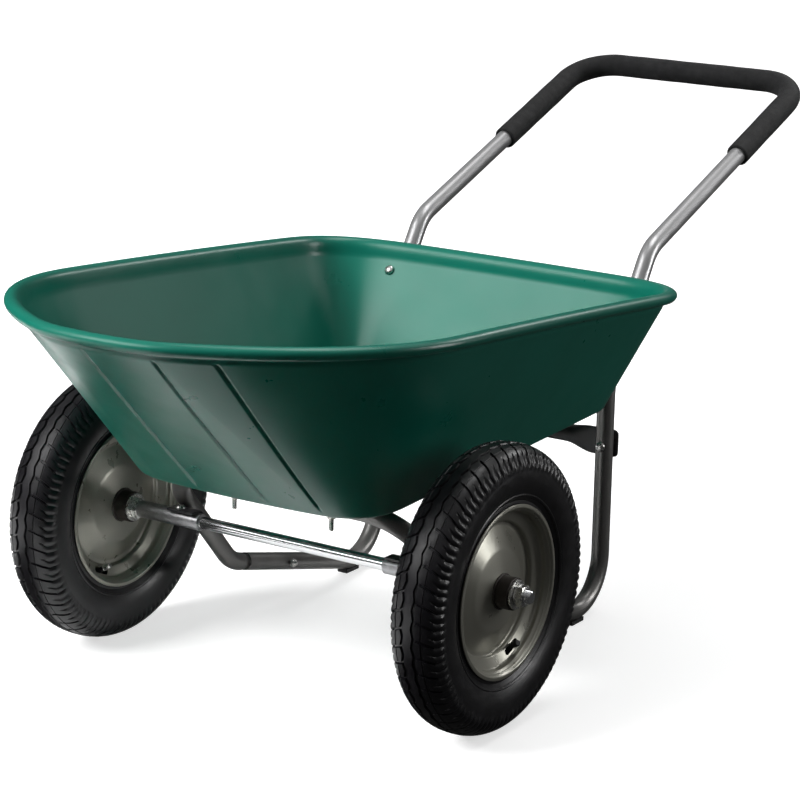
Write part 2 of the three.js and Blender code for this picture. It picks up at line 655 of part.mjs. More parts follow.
function makeWheel(name, side) {
  const wheel = new THREE.Group();
  wheel.position.set(side * TRACK, 0, WHEEL_R);
  cart.add(wheel);
  const angle = VALVE_ANGLE[name];
  const piece = (part, geometry, material) => {
    const mesh = new THREE.Mesh(geometry, material());
    mesh.name = `${name}_${part}`;
    wheel.add(mesh);
  };
  const turned = (profile, facets) => aim(lathe(profile, facets), vec(0, 0, 0), ALONG_X);
  piece("tyre", turned(tyreSection(), WHEEL_FACETS), blackRubber);
  const air = turned(airRing(AIR_TUBE_R - AIR_TUBE_WALL), COLLAR_FACETS);
  const skinRing = turned(airRing(AIR_TUBE_R), COLLAR_FACETS);
  const valveHole = drill(valveAt(angle, WELL_R + 22).add(vec(3, 0, 0)), valveAt(angle, 1), 34, 4);
  piece("inner_tube", cut(skinRing, air, valveHole), blackRubber);
  const valveHalf = cut(turned(rimSection().reverse(), WHEEL_FACETS), valveSlot(angle));
  piece("rim_valve_half", valveHalf, rimPaint);
  piece("rim_plain_half", turned(mirrorSection(rimSection()), WHEEL_FACETS), rimPaint);
  piece("valve_stem", valveStem(angle), blackRubber);
  const seat = HUB_HALF - BEARING_WIDTH - GAP;
  const hubSection = [
    [HUB_R, -HUB_HALF], [HUB_R, HUB_HALF], [BEARING_R + GAP, HUB_HALF], [BEARING_R + GAP, seat],
    [BEARING_R - 4, seat], [BEARING_R - 4, -seat], [BEARING_R + GAP, -seat], [BEARING_R + GAP, -HUB_HALF],
    [HUB_R, -HUB_HALF],
  ];
  piece("hub", turned(hubSection, COLLAR_FACETS + 4), hubPaint);
  for (const [end, start] of [["valve_side", seat + GAP / 2], ["plain_side", -HUB_HALF + GAP / 2]]) {
    const bearing = collar(BEARING_R, AXLE_R + GAP + 0.1, BEARING_WIDTH);
    piece(`${end}_bearing`, aim(bearing, vec(start, 0, 0), ALONG_X), zinc);
  }
}

// ---- fasteners -------------------------------------------------------------------------------------
// A bolt with its head at one end of the stack it clamps and a nut at the other.
function makeBolt(name, headAt, direction, grip, tail) {
  add(`${name}_bolt`, aim(domedBolt(grip + NUT_WIDTH + tail), headAt, direction), zinc);
  const nutAt = headAt.clone().addScaledVector(direction, grip + GAP);
  add(`${name}_nut`, aim(hexNut(NUT_FLATS, NUT_WIDTH, HOLE_R), nutAt, direction), zinc);
}

function makeFasteners(name, side) {
  // tray floor to the front bar
  const floorHead = floorBoltPoint(side).add(vec(0, 0, TRAY_WALL + FLOOR_SEAT));
  const floorGrip = floorHead.z - (FRONT_BAR.z - TUBE_R);
  const floorTail = floorHead.z - floorGrip - NUT_WIDTH - FLOOR_BOLT_END_Z;
  makeBolt(`${name}_floor`, floorHead, DOWN, floorGrip, floorTail);

  // tray back wall, spacer, handle tube and leg spigot
  const wall = wallBoltPoint(side);
  const wallHead = wall.clone().addScaledVector(wallBoltDirection, -TRAY_WALL - WALL_SEAT);
  const toTube = handleJoint(side).sub(wallHead).dot(wallBoltDirection);
  makeBolt(`${name}_wall`, wallHead, wallBoltDirection, toTube + TUBE_R, BOLT_TAIL.wall);
  const spacerStart = TRAY_WALL + 2 * WALL_SEAT;
  const spacerWidth = toTube - TUBE_R - spacerStart - BOLT_SEAT;
  const spacerAt = wallHead.clone().addScaledVector(wallBoltDirection, spacerStart);
  const spacer = aim(collar(SPACER_R, HOLE_R, spacerWidth, BOLT_FACETS), spacerAt, wallBoltDirection);
  add(`${name}_wall_spacer`, spacer, blackPaint);

  // leg tube to the front tube's spigot, from the inner side
  const inwards = vec(-side, 0, 0);
  const across = 2 * (TUBE_R + BOLT_SEAT);
  const frameHead = frameJoint(side, FRAME_BOLT_Y).addScaledVector(inwards, -across / 2);
  makeBolt(`${name}_frame`, frameHead, inwards, across, BOLT_TAIL.frame);

  // brace to the leg
  const braceHead = braceBoltPoint(side).add(vec(0, -across / 2, 0));
  makeBolt(`${name}_brace`, braceHead, ALONG_Y, across + GAP + BRACE_FLAT_T, BOLT_TAIL.brace);

  // bracket and sleeve to the axle, in a blind hole
  const bracketTop = SLEEVE_R + BRACKET.plate + 2 * GAP;
  const bracketHead = bracketBoltPoint(side).add(vec(0, 0, bracketTop));
  const bracketBolt = domedBolt(bracketTop + BRACKET_BOLT_DEPTH);
  add(`${name}_bracket_bolt`, aim(bracketBolt, bracketHead, DOWN), zinc);
}

makeTray();
makeFrontFrame();
makeHandle();
makeGrip();
makeBrace();
makeAxle();
for (const [name, side] of SIDES) {
  makeLeg(name, side);
  makeFootPad(name, side);
  makeSleeve(name, side);
  makeBracket(name, side);
  makeAxleNuts(name, side);
  makeWheel(name, side);
  makeFasteners(name, side);
}

const noseEnd = RIM.noseY - RIM_ROLL_R;
const handleEnd = HANDLE_BAR.y + GRIP_R;
cart.position.y = -(noseEnd + handleEnd) / 2;

export default cart;
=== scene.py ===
"""Two-wheeled garden cart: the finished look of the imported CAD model.

Shapes are worked out in millimetres in cart coordinates, where the axle lies at y = 0, and are placed
in the row frame, in metres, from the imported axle. +Z is up and -Y is the nose of the tray.
"""

import math

import bpy
import numpy as np
from mathutils import Matrix, Vector


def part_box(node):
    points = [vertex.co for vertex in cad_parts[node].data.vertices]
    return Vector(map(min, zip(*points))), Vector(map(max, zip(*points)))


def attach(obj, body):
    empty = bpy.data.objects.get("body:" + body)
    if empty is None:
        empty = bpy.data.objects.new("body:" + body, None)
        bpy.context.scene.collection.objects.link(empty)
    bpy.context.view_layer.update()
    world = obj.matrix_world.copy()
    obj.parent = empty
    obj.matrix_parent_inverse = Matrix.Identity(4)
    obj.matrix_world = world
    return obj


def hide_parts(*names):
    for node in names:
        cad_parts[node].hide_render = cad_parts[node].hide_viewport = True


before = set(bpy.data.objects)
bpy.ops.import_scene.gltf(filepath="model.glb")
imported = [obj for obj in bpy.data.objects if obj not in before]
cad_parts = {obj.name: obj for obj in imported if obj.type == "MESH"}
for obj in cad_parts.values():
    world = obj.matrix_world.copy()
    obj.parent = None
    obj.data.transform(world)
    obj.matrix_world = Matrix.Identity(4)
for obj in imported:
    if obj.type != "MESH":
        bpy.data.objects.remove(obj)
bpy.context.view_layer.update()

# ---- driving dimensions, millimetres ----
MM = 0.001
SIDES = (("left", -1), ("right", 1))
ROOT = "cart_frame"


def cad_box_mm(node):
    low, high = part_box(node)
    return np.array(low) / MM, np.array(high) / MM


AXLE_LOW, AXLE_HIGH = cad_box_mm("axle_rod")
AXLE_Y = (AXLE_LOW[1] + AXLE_HIGH[1]) / 2
AXLE_HALF = AXLE_HIGH[0]
TYRE_LOW, TYRE_HIGH = cad_box_mm("right_tyre")
WHEEL_R = TYRE_HIGH[2] / 2
TRACK = (TYRE_LOW[0] + TYRE_HIGH[0]) / 2
TYRE_HALF_WIDTH = (TYRE_HIGH[0] - TYRE_LOW[0]) / 2

# wheels
FLANGE_R = 107
FLANGE_OFFSET = 28.6
BEAD_R = 99
WELL_R = 85
SHEET = 2.2
HUB_R = 20
HUB_HALF = 37
BEARING_R = 17
BEARING_WIDTH = 11
VALVE_ANGLE = {"left": -0.42, "right": 0.42}
# The valve caps are one kind of part. The left one is bright zinc as a painted highlight, and the right
# one is black rubber as painted shade in its slot.
VALVE_CAP_PAINTED_LIGHT = {"left": "zinc", "right": "rubber"}
TREAD_PITCHES = 50
LUG_GAP_AT = 0.055

# axle
AXLE_R = 8
SLEEVE_R = 11
SLEEVE_INNER_END = 142
WASHER_R = 18
WASHER_WIDTH = 3
NUT_FLATS = 24
OUTER_NUT_WIDTH = 11
INNER_NUT_WIDTH = 8
GAP = 0.3

# frame tubes, as (y, z, bend radius) of each corner in the upright side planes
TUBE_R = 12
TUBE_WALL = 1.2
TUBE_X = 183.5
FRONT_BAR = (-20.5, 246, 66)
LOW_BEND = (117, 86, 60)
HEEL_BEND = (461.4, -3.6, 65)
KNEE_BEND = (461.4, 319, 60)
HANDLE_BEND = (565, 483, 60)
HANDLE_BAR = (1021, 655, 62)
FRAME_JOINT_Y = 146
FRAME_NECK = 8
HANDLE_NECK = 0.8
TUBE_END_GAP = 0.5
SPIGOT_R = 10.1
HANDLE_JOINT_Z = 388

# tray
TRAY_WALL = 4
BOSS_R = 13
# Plan outlines: half widths, the nose and back edges with their bows and corner cuts, and heights.
RIM = dict(half=292, nose_y=-384.7, nose_bow=124, nose_cut=(214, 186), back_half=292, back_y=512,
           back_bow=11.4, back_cut=(123, 104), nose_z=512.4, back_z=447, crown=5)
FLOOR = dict(half=187.5, nose_y=-112, nose_bow=11.6, nose_cut=(64, 64), back_half=217, back_y=426,
             back_bow=0, back_cut=(45, 45), nose_z=260.7, back_z=300.8, crown=0)
# The rolled rim's section as steps out from the rim line and up.
RIM_SECTION = [(-10, -16), (-8.2, -10.2), (-2, -8), (4, -6.6), (8, -1), (6.5, 4.7), (0, 8), (-7, 6),
               (-12, -1), (-14, -16)]
# Flutes pressed into the nose wall: x at the floor edge and x under the rim.
FLUTES = [(-55, -23), (47.5, 72), (125.5, 133)]
FLUTE_HALF_WIDTH = 2.7
FLUTE_DEPTH = 2.6
NOSE_BACK_Y = -60
NOSE_INWARDS = (0, 0.68, 0.73)

# grip, brace, brackets
GRIP_R = 16.6
GRIP_REACH = {"left": 252, "right": 220}
BRACE_Z = 232
BRACE_R = 12
BRACE_END = 196
BRACE_FLAT_HALF = 19
BRACE_FLAT_T = 4
BRACE_ROUND_END = 112
BRACE_PRESS_LENGTH = 46
BRACKET_INNER = 147
BRACKET_OUTER = 188
BRACKET_PLATE = 2.7
BRACKET_TUBE_RUN = 26
BRACKET_LIP = 2
BOLT_R = 3
BOLT_HEAD_R = 7
BOLT_HEAD_H = 3.9
BOLT_NUT_FLATS = 10
BOLT_NUT_WIDTH = 5
FLOOR_BOLT_X = 74
FLOOR_BOLT_END_Z = 213
WALL_BOLT_Z = 416
FRAME_BOLT_Y = 238
BRACKET_BOLT_X = 176
BRACKET_BOLT_DEPTH = 4

X = np.array((1.0, 0, 0))
Y = np.array((0, 1.0, 0))
Z = np.array((0, 0, 1.0))


def vec(*values):
    return np.array(values, float)


def unit(v):
    return v / np.linalg.norm(v)


# ---- node materials ----
class Shader:
    """A node material whose textures are placed in the piece's own coordinates, in metres."""

    def __init__(self, name, **sockets):
        self.material = bpy.data.materials.new(name)
        self.material.use_nodes = True
        self.nodes = self.material.node_tree.nodes
        self.links = self.material.node_tree.links
        self.bsdf = self.nodes["Principled BSDF"]
        self.place = self.nodes.new("ShaderNodeTexCoord").outputs["Object"]
        self.normal = None
        for socket, value in sockets.items():
            self.bsdf.inputs[socket.replace("_", " ")].default_value = value

    def node(self, kind, inputs=(), **settings):
        node = self.nodes.new("ShaderNode" + kind)
        for key, value in settings.items():
            setattr(node, key, value)
        for key, value in dict(inputs).items():
            if isinstance(value, bpy.types.NodeSocket):
                self.links.new(value, node.inputs[key])
            else:
                node.inputs[key].default_value = value
        return node

    def stretched(self, scale):
        return self.node("Mapping", {"Vector": self.place, "Scale": scale}).outputs[0]

    def noise(self, scale, detail=3.0, roughness=0.55, stretch=None):
        place = self.stretched(stretch) if stretch else self.place
        inputs = {"Vector": place, "Scale": scale, "Detail": detail, "Roughness": roughness}
        return self.node("TexNoise", inputs).outputs["Fac"]

    def cells(self, scale, stretch=None):
        place = self.stretched(stretch) if stretch else self.place
        return self.node("TexVoronoi", {"Vector": place, "Scale": scale}).outputs["Distance"]

    def remap(self, value, low, high, start=0.3, end=0.7):
        inputs = {"Value": value, "From Min": start, "From Max": end, "To Min": low, "To Max": high}
        return self.node("MapRange", inputs).outputs[0]

    def mix(self, factor, first, second):
        node = self.node("Mix", data_type="RGBA")
        self.links.new(factor, node.inputs[0])
        for socket, value in ((node.inputs[6], first), (node.inputs[7], second)):
            if isinstance(value, bpy.types.NodeSocket):
                self.links.new(value, socket)
            else:
                socket.default_value = (*value, 1)
        return node.outputs[2]

    def colour(self, value):
        self.links.new(value, self.bsdf.inputs["Base Color"])

    def rough(self, value):
        self.links.new(value, self.bsdf.inputs["Roughness"])

    def bump(self, height, strength, distance):
        inputs = {"Height": height, "Strength": strength, "Distance": distance}
        if self.normal:
            inputs["Normal"] = self.normal
        self.normal = self.node("Bump", inputs).outputs[0]
        self.links.new(self.normal, self.bsdf.inputs["Normal"])


def tray_plastic():
    """Satin moulded plastic: a fine pebble, faint flow marks and rubbed patches."""
    s = Shader("tray_plastic", IOR=1.5)
    flow = s.noise(7, 4)
    s.colour(s.mix(s.remap(flow, 0, 1), (0.002, 0.102, 0.070), (0.003, 0.116, 0.081)))
    s.rough(s.remap(s.noise(22, 5), 0.27, 0.36))
    s.bump(s.noise(200, 2), 0.04, 0.0004)
    s.bump(s.noise(9, 2), 0.04, 0.004)
    return s.material


def paint(name, base, metallic, rough, flake=0.10, peel=0.10):
    """Baked powder paint on steel: orange peel, slight metallic flake and handling marks."""
    s = Shader(name, Metallic=metallic, IOR=1.5)
    light = tuple(min(1, c * (1 + flake)) for c in base)
    dark = tuple(c * (1 - flake) for c in base)
    s.colour(s.mix(s.remap(s.noise(700, 2), 0, 1), dark, light))
    s.rough(s.remap(s.noise(40, 5), rough * 0.88, rough * 1.15))
    s.bump(s.noise(160, 2), peel, 0.0004)
    return s.material


def plated(name, base, rough, tint):
    """Bright zinc plate: cloudy tint and fine scratches."""
    s = Shader(name, Metallic=1.0)
    s.colour(s.mix(s.remap(s.noise(160, 4), 0, 1), base, tint))
    s.rough(s.remap(s.noise(700, 4), rough * 0.75, rough * 1.4))
    s.bump(s.noise(1900, 3), 0.12, 0.0002)
    return s.material


def drawn_steel():
    """Polished bar with drawing lines along its length."""
    s = Shader("drawn_steel", Metallic=1.0)
    lines = s.noise(60, 6, 0.7, stretch=(0.15, 30, 30))
    s.colour(s.mix(s.remap(lines, 0, 1), (0.70, 0.71, 0.72), (0.86, 0.87, 0.88)))
    s.rough(s.remap(lines, 0.10, 0.24))
    s.bump(lines, 0.06, 0.0002)
    return s.material


def tyre_rubber():
    """Black rubber: dusty high spots, fine mould texture."""
    s = Shader("tyre_rubber", IOR=1.5)
    dust = s.remap(s.noise(30, 5), 0, 1, 0.45, 0.75)
    s.colour(s.mix(dust, (0.0030, 0.0028, 0.0037), (0.0075, 0.0070, 0.0086)))
    s.rough(s.remap(s.noise(120, 5), 0.28, 0.44))
    s.bump(s.noise(500, 3), 0.16, 0.0004)
    return s.material


def soft_foam():
    """Closed-cell foam sleeve: matte skin with fine pores."""
    s = Shader("soft_foam", IOR=1.45, Sheen_Weight=0.03, Sheen_Roughness=0.5)
    pores = s.cells(1500)
    s.colour(s.mix(s.remap(s.noise(60, 4), 0, 1), (0.004, 0.004, 0.0044), (0.007, 0.007, 0.0074)))
    s.rough(s.remap(s.noise(90, 4), 0.68, 0.84))
    s.bump(pores, 0.35, 0.0005)
    s.bump(s.noise(140, 3), 0.20, 0.0012)
    return s.material


def plain_rubber():
    s = Shader("plain_rubber", IOR=1.5)
    s.colour(s.mix(s.remap(s.noise(80, 4), 0, 1), (0.010, 0.010, 0.010), (0.020, 0.020, 0.020)))
    s.rough(s.remap(s.noise(200, 4), 0.55, 0.75))
    s.bump(s.noise(700, 3), 0.2, 0.0004)
    return s.material


MATERIALS = {
    "tray": tray_plastic(),
    "handle_paint": paint("handle_paint", (0.40, 0.40, 0.405), 0.75, 0.34),
    "frame_paint": paint("frame_paint", (0.19, 0.186, 0.18), 0.7, 0.34),
    "black_paint": paint("black_paint", (0.012, 0.012, 0.013), 0.0, 0.34, flake=0.2),
    "zinc": plated("zinc", (0.62, 0.63, 0.64), 0.26, (0.74, 0.73, 0.68)),
    "steel": drawn_steel(),
    "sleeve": plated("sleeve", (0.36, 0.36, 0.37), 0.34, (0.46, 0.46, 0.47)),
    "rim_paint": paint("rim_paint", (0.30, 0.295, 0.255), 0.6, 0.30, flake=0.04, peel=0.05),
    "hub_paint": paint("hub_paint", (0.032, 0.026, 0.022), 0.3, 0.42),
    "tyre": tyre_rubber(),
    "rubber": plain_rubber(),
    "foam": soft_foam(),
}


# ---- mesh helpers ----
def new_piece(name, points, faces, material, body, nodes, slot=None, sharp=35):
    """Makes a piece from millimetre points in cart coordinates and lets it stand for CAD nodes."""
    points = np.asarray(points, float) + vec(0, AXLE_Y, 0)
    mesh = bpy.data.meshes.new(name)
    mesh.from_pydata((points * MM).tolist(), [], [tuple(int(i) for i in f) for f in faces])
    mesh.validate()
    mesh.shade_smooth()
    mesh.set_sharp_from_angle(angle=math.radians(sharp))
    mesh.materials.append(MATERIALS[material])
    obj = bpy.data.objects.new(name, mesh)
    bpy.context.scene.collection.objects.link(obj)
    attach(obj, body)
    if nodes:
        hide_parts(*nodes)
    return obj


def joined(*parts):
    """One point and face list from several."""
    points, faces = [], []
    for p, f in parts:
        start = len(points)
        points.extend(np.asarray(p, float))
        faces.extend([tuple(i + start for i in face) for face in f])
    return points, faces


def grid(rings, loop=False):
    """Faces through rings of equal length; the ends are capped, or the last ring meets the first."""
    count, size = len(rings), len(rings[0])
    faces = []
    for r in range(count if loop else count - 1):
        low, high = r * size, ((r + 1) % count) * size
        faces += [(low + i, low + (i + 1) % size, high + (i + 1) % size, high + i) for i in range(size)]
    if not loop:
        faces.append(tuple(reversed(range(size))))
        faces.append(tuple((count - 1) * size + i for i in range(size)))
    return np.concatenate([np.asarray(r, float) for r in rings]), faces


def circle(segments):
    angles = np.arange(segments) * 2 * math.pi / segments
    return np.cos(angles), np.sin(angles)


def side_axes(direction):
    """Two directions square to a given one."""
    helper = Z if abs(direction[2]) < 0.9 else Y
    first = unit(np.cross(helper, direction))
    return first, np.cross(direction, first)


def turned(profile, origin, direction, segments=48, closed=False):
    """A lathe shape: (radius, distance) points turned about a line from origin along direction."""
    direction = unit(direction)
    u, v = side_axes(direction)
    c, s = circle(segments)
    rings = [origin + direction * h + r * (np.outer(c, u) + np.outer(s, v)) for r, h in profile]
    return grid(rings, loop=closed)


NEARLY_STRAIGHT = math.pi - 0.02
# The largest share of an edge that one corner's arc may take.
EDGE_SHARE = 0.48


def rounded(points, radius, steps=5, closed=False):
    """A polyline whose corners are replaced by arcs; radius may be one number or one per corner."""
    points = [np.asarray(p, float) for p in points]
    count = len(points)
    radii = list(radius) if hasattr(radius, "__len__") else [radius] * count
    out = []
    for i, p in enumerate(points):
        if not closed and i in (0, count - 1) or radii[i] <= 0:
            out.append(p)
            continue
        a, b = points[i - 1], points[(i + 1) % count]
        da, db = unit(a - p), unit(b - p)
        angle = math.acos(max(-1, min(1, float(da @ db))))
        if angle > NEARLY_STRAIGHT:
            out.append(p)
            continue
        shorter = min(np.linalg.norm(a - p), np.linalg.norm(b - p))
        reach = min(radii[i] / math.tan(angle / 2), shorter * EDGE_SHARE)
        for t in np.linspace(0, 1, steps + 1):
            out.append((1 - t) ** 2 * (p + da * reach) + 2 * t * (1 - t) * p + t * t * (p + db * reach))
    return out


def turned_ring(origin, direction, bore, outer, width, soft, segments):
    """A plain ring with softened edges."""
    section = rounded([(bore, 0), (outer, 0), (outer, width), (bore, width)], soft, 3, closed=True)
    return turned(section, origin, direction, segments, closed=True)


def bent_path(corners, step=math.radians(4)):
    """Stations (point, direction) along a path through (point, bend radius) corners rounded by arcs."""
    points = [np.asarray(p, float) for p, _ in corners]
    stations = [(points[0], unit(points[1] - points[0]))]
    for i in range(1, len(points) - 1):
        before, after = unit(points[i] - points[i - 1]), unit(points[i + 1] - points[i])
        turn = math.acos(float(before @ after))
        axis = unit(np.cross(before, after))
        bend = corners[i][1]
        spoke = np.cross(axis, before)
        centre = points[i] - before * bend * math.tan(turn / 2) + spoke * bend
        for k in range(int(math.ceil(turn / step)) + 1):
            a = turn * k / math.ceil(turn / step)
            way = before * math.cos(a) + np.cross(axis, before) * math.sin(a)
            out = -spoke * math.cos(a) + before * math.sin(a)
            stations.append((centre + out * bend, way))
    stations.append((points[-1], unit(points[-1] - points[-2])))
    return stations


def resampled(stations, spacing):
    """Adds stations along the straight stretches so that no two lie further apart than the spacing."""
    out = [stations[0]]
    for (p, d), (q, e) in zip(stations, stations[1:]):
        pieces = max(1, int(np.linalg.norm(q - p) / spacing))
        for k in range(1, pieces + 1):
            t = k / pieces
            out.append((p + (q - p) * t, unit(d * (1 - t) + e * t)))
    return out


def swept(stations, radius, segments=40, wall=None):
    """A tube along stations; radius is a number or a function of (station index, share of the way)."""
    first = stations[0][1]
    u, v = side_axes(first)
    c, s = circle(segments)
    rings = []
    last = len(stations) - 1
    for i, (p, d) in enumerate(stations):
        u = unit(u - d * float(u @ d))
        v = np.cross(d, u)
        r = radius(i, i / last) if callable(radius) else radius
        rings.append(p + r * (np.outer(c, u) + np.outer(s, v)))
    if wall:
        rings = hollow_ends(stations, rings, wall)
    return grid(rings)


def hollow_ends(stations, rings, wall):
    """Turns both ends of a tube inwards so that they show the wall and a dark bore."""
    depth, edge, start_of_bore = 14.0, 0.35, 0.3

    def mouth(station, ring, inwards):
        centre = station[0]
        spokes = ring - centre
        r = np.linalg.norm(spokes, axis=1, keepdims=True)
        inner = centre + spokes * (r - wall) / r
        lip = centre + spokes * (r - edge) / r
        return [inner + inwards * depth, inner + inwards * start_of_bore, lip, ring + inwards * edge]

    start = mouth(stations[0], rings[0], stations[0][1])
    end = mouth(stations[-1], rings[-1], -stations[-1][1])
    return [*start, *rings[1:-1], *reversed(end)]


# ---- tray ----
def bezier(a, b, c, t):
    t = t[:, None]
    return (1 - t) ** 2 * a + 2 * t * (1 - t) * b + t * t * c


def half_outline(plan, side, steps):
    """One side of a plan outline from the nose's middle to the back's middle, as (x, y)."""
    half, back_half = plan["half"], plan["back_half"]
    nose_side = plan["nose_y"] + plan["nose_bow"]
    back_side = plan["back_y"] - plan["back_bow"]

    def nose_at(x):
        return plan["nose_y"] + plan["nose_bow"] * (x / half) ** 2

    def back_at(x):
        return plan["back_y"] - plan["back_bow"] * (x / back_half) ** 2

    nose_corner, back_corner = vec(half, nose_side), vec(back_half, back_side)
    way = unit(back_corner - nose_corner)
    start = vec(half - plan["nose_cut"][0], nose_at(half - plan["nose_cut"][0]))
    nose_end = nose_corner + way * plan["nose_cut"][1]
    back_start = back_corner - way * plan["back_cut"][1]
    back_end = vec(back_half - plan["back_cut"][0], back_at(back_half - plan["back_cut"][0]))
    nose_x = start[0] * steps["nose"]
    back_x = back_end[0] * (1 - steps["back"])
    straight = steps["side"][:, None]
    points = np.concatenate([
        np.column_stack([nose_x, nose_at(nose_x)]),
        bezier(start, nose_corner, nose_end, steps["nose_corner"]),
        nose_end * (1 - straight) + back_start * straight,
        bezier(back_start, back_corner, back_end, steps["back_corner"]),
        np.column_stack([back_x, back_at(back_x)]),
    ])
    return points * vec(side, 1)


def spread(count, first=0.0):
    """Shares of a stretch up to, but not including, its end."""
    return first + (1 - first) * np.arange(count) / count


def outline_steps(nose_corner):
    return {"nose": spread(60), "nose_corner": nose_corner, "side": spread(16),
            "back_corner": spread(24), "back": spread(12)}


# Columns are close together over the first share of the right nose corner, where a flute runs.
FLUTED = 0.36
RIGHT_STEPS = outline_steps(np.concatenate([spread(110) * FLUTED, FLUTED + (1 - FLUTED) * spread(34)]))
LEFT_STEPS = outline_steps(spread(46))


def tray_outline(plan, softness):
    """A closed plan outline with its height, nose first, softened where its stretches meet."""
    right = half_outline(plan, 1, RIGHT_STEPS)
    left = half_outline(plan, -1, LEFT_STEPS)[1:][::-1]
    flat = np.concatenate([right, [vec(0, plan["back_y"])], left])
    run = (flat[:, 1] - plan["nose_y"]) / (plan["back_y"] - plan["nose_y"])
    rise = plan["nose_z"] + (plan["back_z"] - plan["nose_z"]) * run + 4 * plan["crown"] * run * (1 - run)
    return softened(np.column_stack([flat, rise]), softness)


def softened(ring, sigma):
    """Blurs a closed ring along its own length."""
    closed = np.concatenate([ring, ring[:1]])
    length = np.concatenate([[0], np.cumsum(np.linalg.norm(np.diff(closed, axis=0), axis=1))])
    total = length[-1]
    samples = 2000
    spacing = total / samples
    even = np.arange(samples) * spacing
    wide = int(4 * sigma / spacing)
    kernel = np.exp(-0.5 * (np.arange(-wide, wide + 1) * spacing / sigma) ** 2)
    kernel /= kernel.sum()
    columns = []
    for axis in range(3):
        values = np.interp(even, length, closed[:, axis])
        padded = np.concatenate([values[-wide:], values, values[:wide]])
        blurred = np.convolve(padded, kernel, mode="valid")
        columns.append(np.interp(length[:-1], np.append(even, total), np.append(blurred, blurred[0])))
    return np.column_stack(columns)


def offset_ring(ring, out, up):
    """Moves a ring outwards in plan and up."""
    way = np.roll(ring, -1, axis=0) - np.roll(ring, 1, axis=0)
    normal = np.column_stack([way[:, 1], -way[:, 0]])
    normal /= np.linalg.norm(normal, axis=1, keepdims=True)
    return ring + np.column_stack([normal * out, np.full(len(ring), up)])


RIM_LINE = tray_outline(RIM, 16)
FLOOR_LINE = tray_outline(FLOOR, 7)


def catmull(points, steps):
    """A smooth curve through the points."""
    points = np.asarray(points, float)
    padded = np.concatenate([[2 * points[0] - points[1]], points, [2 * points[-1] - points[-2]]])
    out = []
    for i in range(1, len(padded) - 2):
        a, b, c, d = padded[i - 1:i + 3]
        for t in np.arange(steps) / steps:
            out.append(0.5 * (2 * b + (c - a) * t + (2 * a - 5 * b + 4 * c - d) * t * t
                              + (3 * b - a - 3 * c + d) * t ** 3))
    return [*out, points[-1]]


def flute_depth(points, share):
    """How far the flutes push in a wall point that lies at a share of the wall's height."""
    first, run_in, run_out = 0.045, 0.03, 0.02
    slant, flank = 0.96, 0.7
    depth = np.zeros(len(points))
    front = points[:, 1] < NOSE_BACK_Y
    fade = min(1, max(0, (share - first) / run_in)) * min(1, max(0, (1.0 - share) / run_out))
    for low, high in FLUTES:
        middle = low + (high - low) * share
        across = np.abs(points[:, 0] - middle) * slant / FLUTE_HALF_WIDTH
        shape = np.clip((1 - across) / flank, 0, 1)
        depth = np.maximum(depth, shape * front * fade * FLUTE_DEPTH)
    return depth


def wall_rings(low, high, rows, fillet):
    """Rings from the floor edge to the rim along a straight wall with a soft lower edge."""
    inset = offset_ring(low, -fillet, 0)
    climb = float(np.mean(np.linalg.norm(high - low, axis=1)))
    start = min(0.4, fillet / climb)
    turn = low + (high - low) * start
    rings = []
    for t in np.linspace(0, 1, 7):
        rings.append((1 - t) ** 2 * inset + 2 * t * (1 - t) * low + t * t * turn)
    for share in np.linspace(start, 1, rows)[1:]:
        ring = low + (high - low) * share
        push = flute_depth(ring, share)[:, None]
        rings.append(ring + push * vec(*NOSE_INWARDS))
    return rings


def floor_rings(edge, rows):
    """Rings from the middle of a floor out to its edge."""
    middle = edge.mean(axis=0)
    return [middle + (edge - middle) * t for t in np.linspace(0.04, 0.96, rows)]


def make_tray():
    """One closed shell: floor and wall from below, over the rim, and down the wall again."""
    section = catmull(RIM_SECTION, 3)
    rim = [offset_ring(RIM_LINE, out, up) for out, up in section]
    outside = wall_rings(FLOOR_LINE, rim[0], rows=70, fillet=7)
    inner_edge = offset_ring(FLOOR_LINE, -TRAY_WALL - 1, TRAY_WALL)
    inside = wall_rings(inner_edge, rim[-1], rows=44, fillet=12)
    rings = [
        *floor_rings(outside[0], 10),
        *outside,
        *rim[1:-1],
        *reversed(inside),
        *reversed(floor_rings(inside[0], 10)),
    ]
    points, faces = grid(rings)
    bosses = [floor_boss(side) for _, side in SIDES]
    points, faces = joined((points, faces), *bosses)
    new_piece("tray_shell", points, faces, "tray", ROOT, ["tray"], sharp=50)


def floor_bottom_at(y):
    slope = (FLOOR["back_z"] - FLOOR["nose_z"]) / (FLOOR["back_y"] - FLOOR["nose_y"])
    return FLOOR["nose_z"] + slope * (y - FLOOR["nose_y"])


def floor_boss(side):
    """The round stand-off under the floor that takes a floor bolt."""
    low = FRONT_BAR[1] + TUBE_R + GAP
    top = floor_bottom_at(FRONT_BAR[0]) + 1
    height = top - low
    profile = rounded([(0, 0), (BOSS_R, 0), (BOSS_R, height - 4), (BOSS_R + 4, height), (0, height)], 1.5)
    return turned(profile[1:-1], vec(side * FLOOR_BOLT_X, FRONT_BAR[0], low), Z, 40)


# ---- frame ----
def corner(side, spot):
    y, z, bend = spot
    return vec(side * TUBE_X, y, z), bend


def between(side, a, b, value, axis):
    """The point on the line from corner a to corner b where a coordinate has a value."""
    p, q = corner(side, a)[0], corner(side, b)[0]
    return p + (q - p) * (value - p[axis]) / (q[axis] - p[axis])


def frame_joint(side, y=FRAME_JOINT_Y):
    return between(side, LOW_BEND, HEEL_BEND, y, 1)


def handle_joint(side, z=HANDLE_JOINT_Z):
    return between(side, KNEE_BEND, HANDLE_BEND, z, 2)


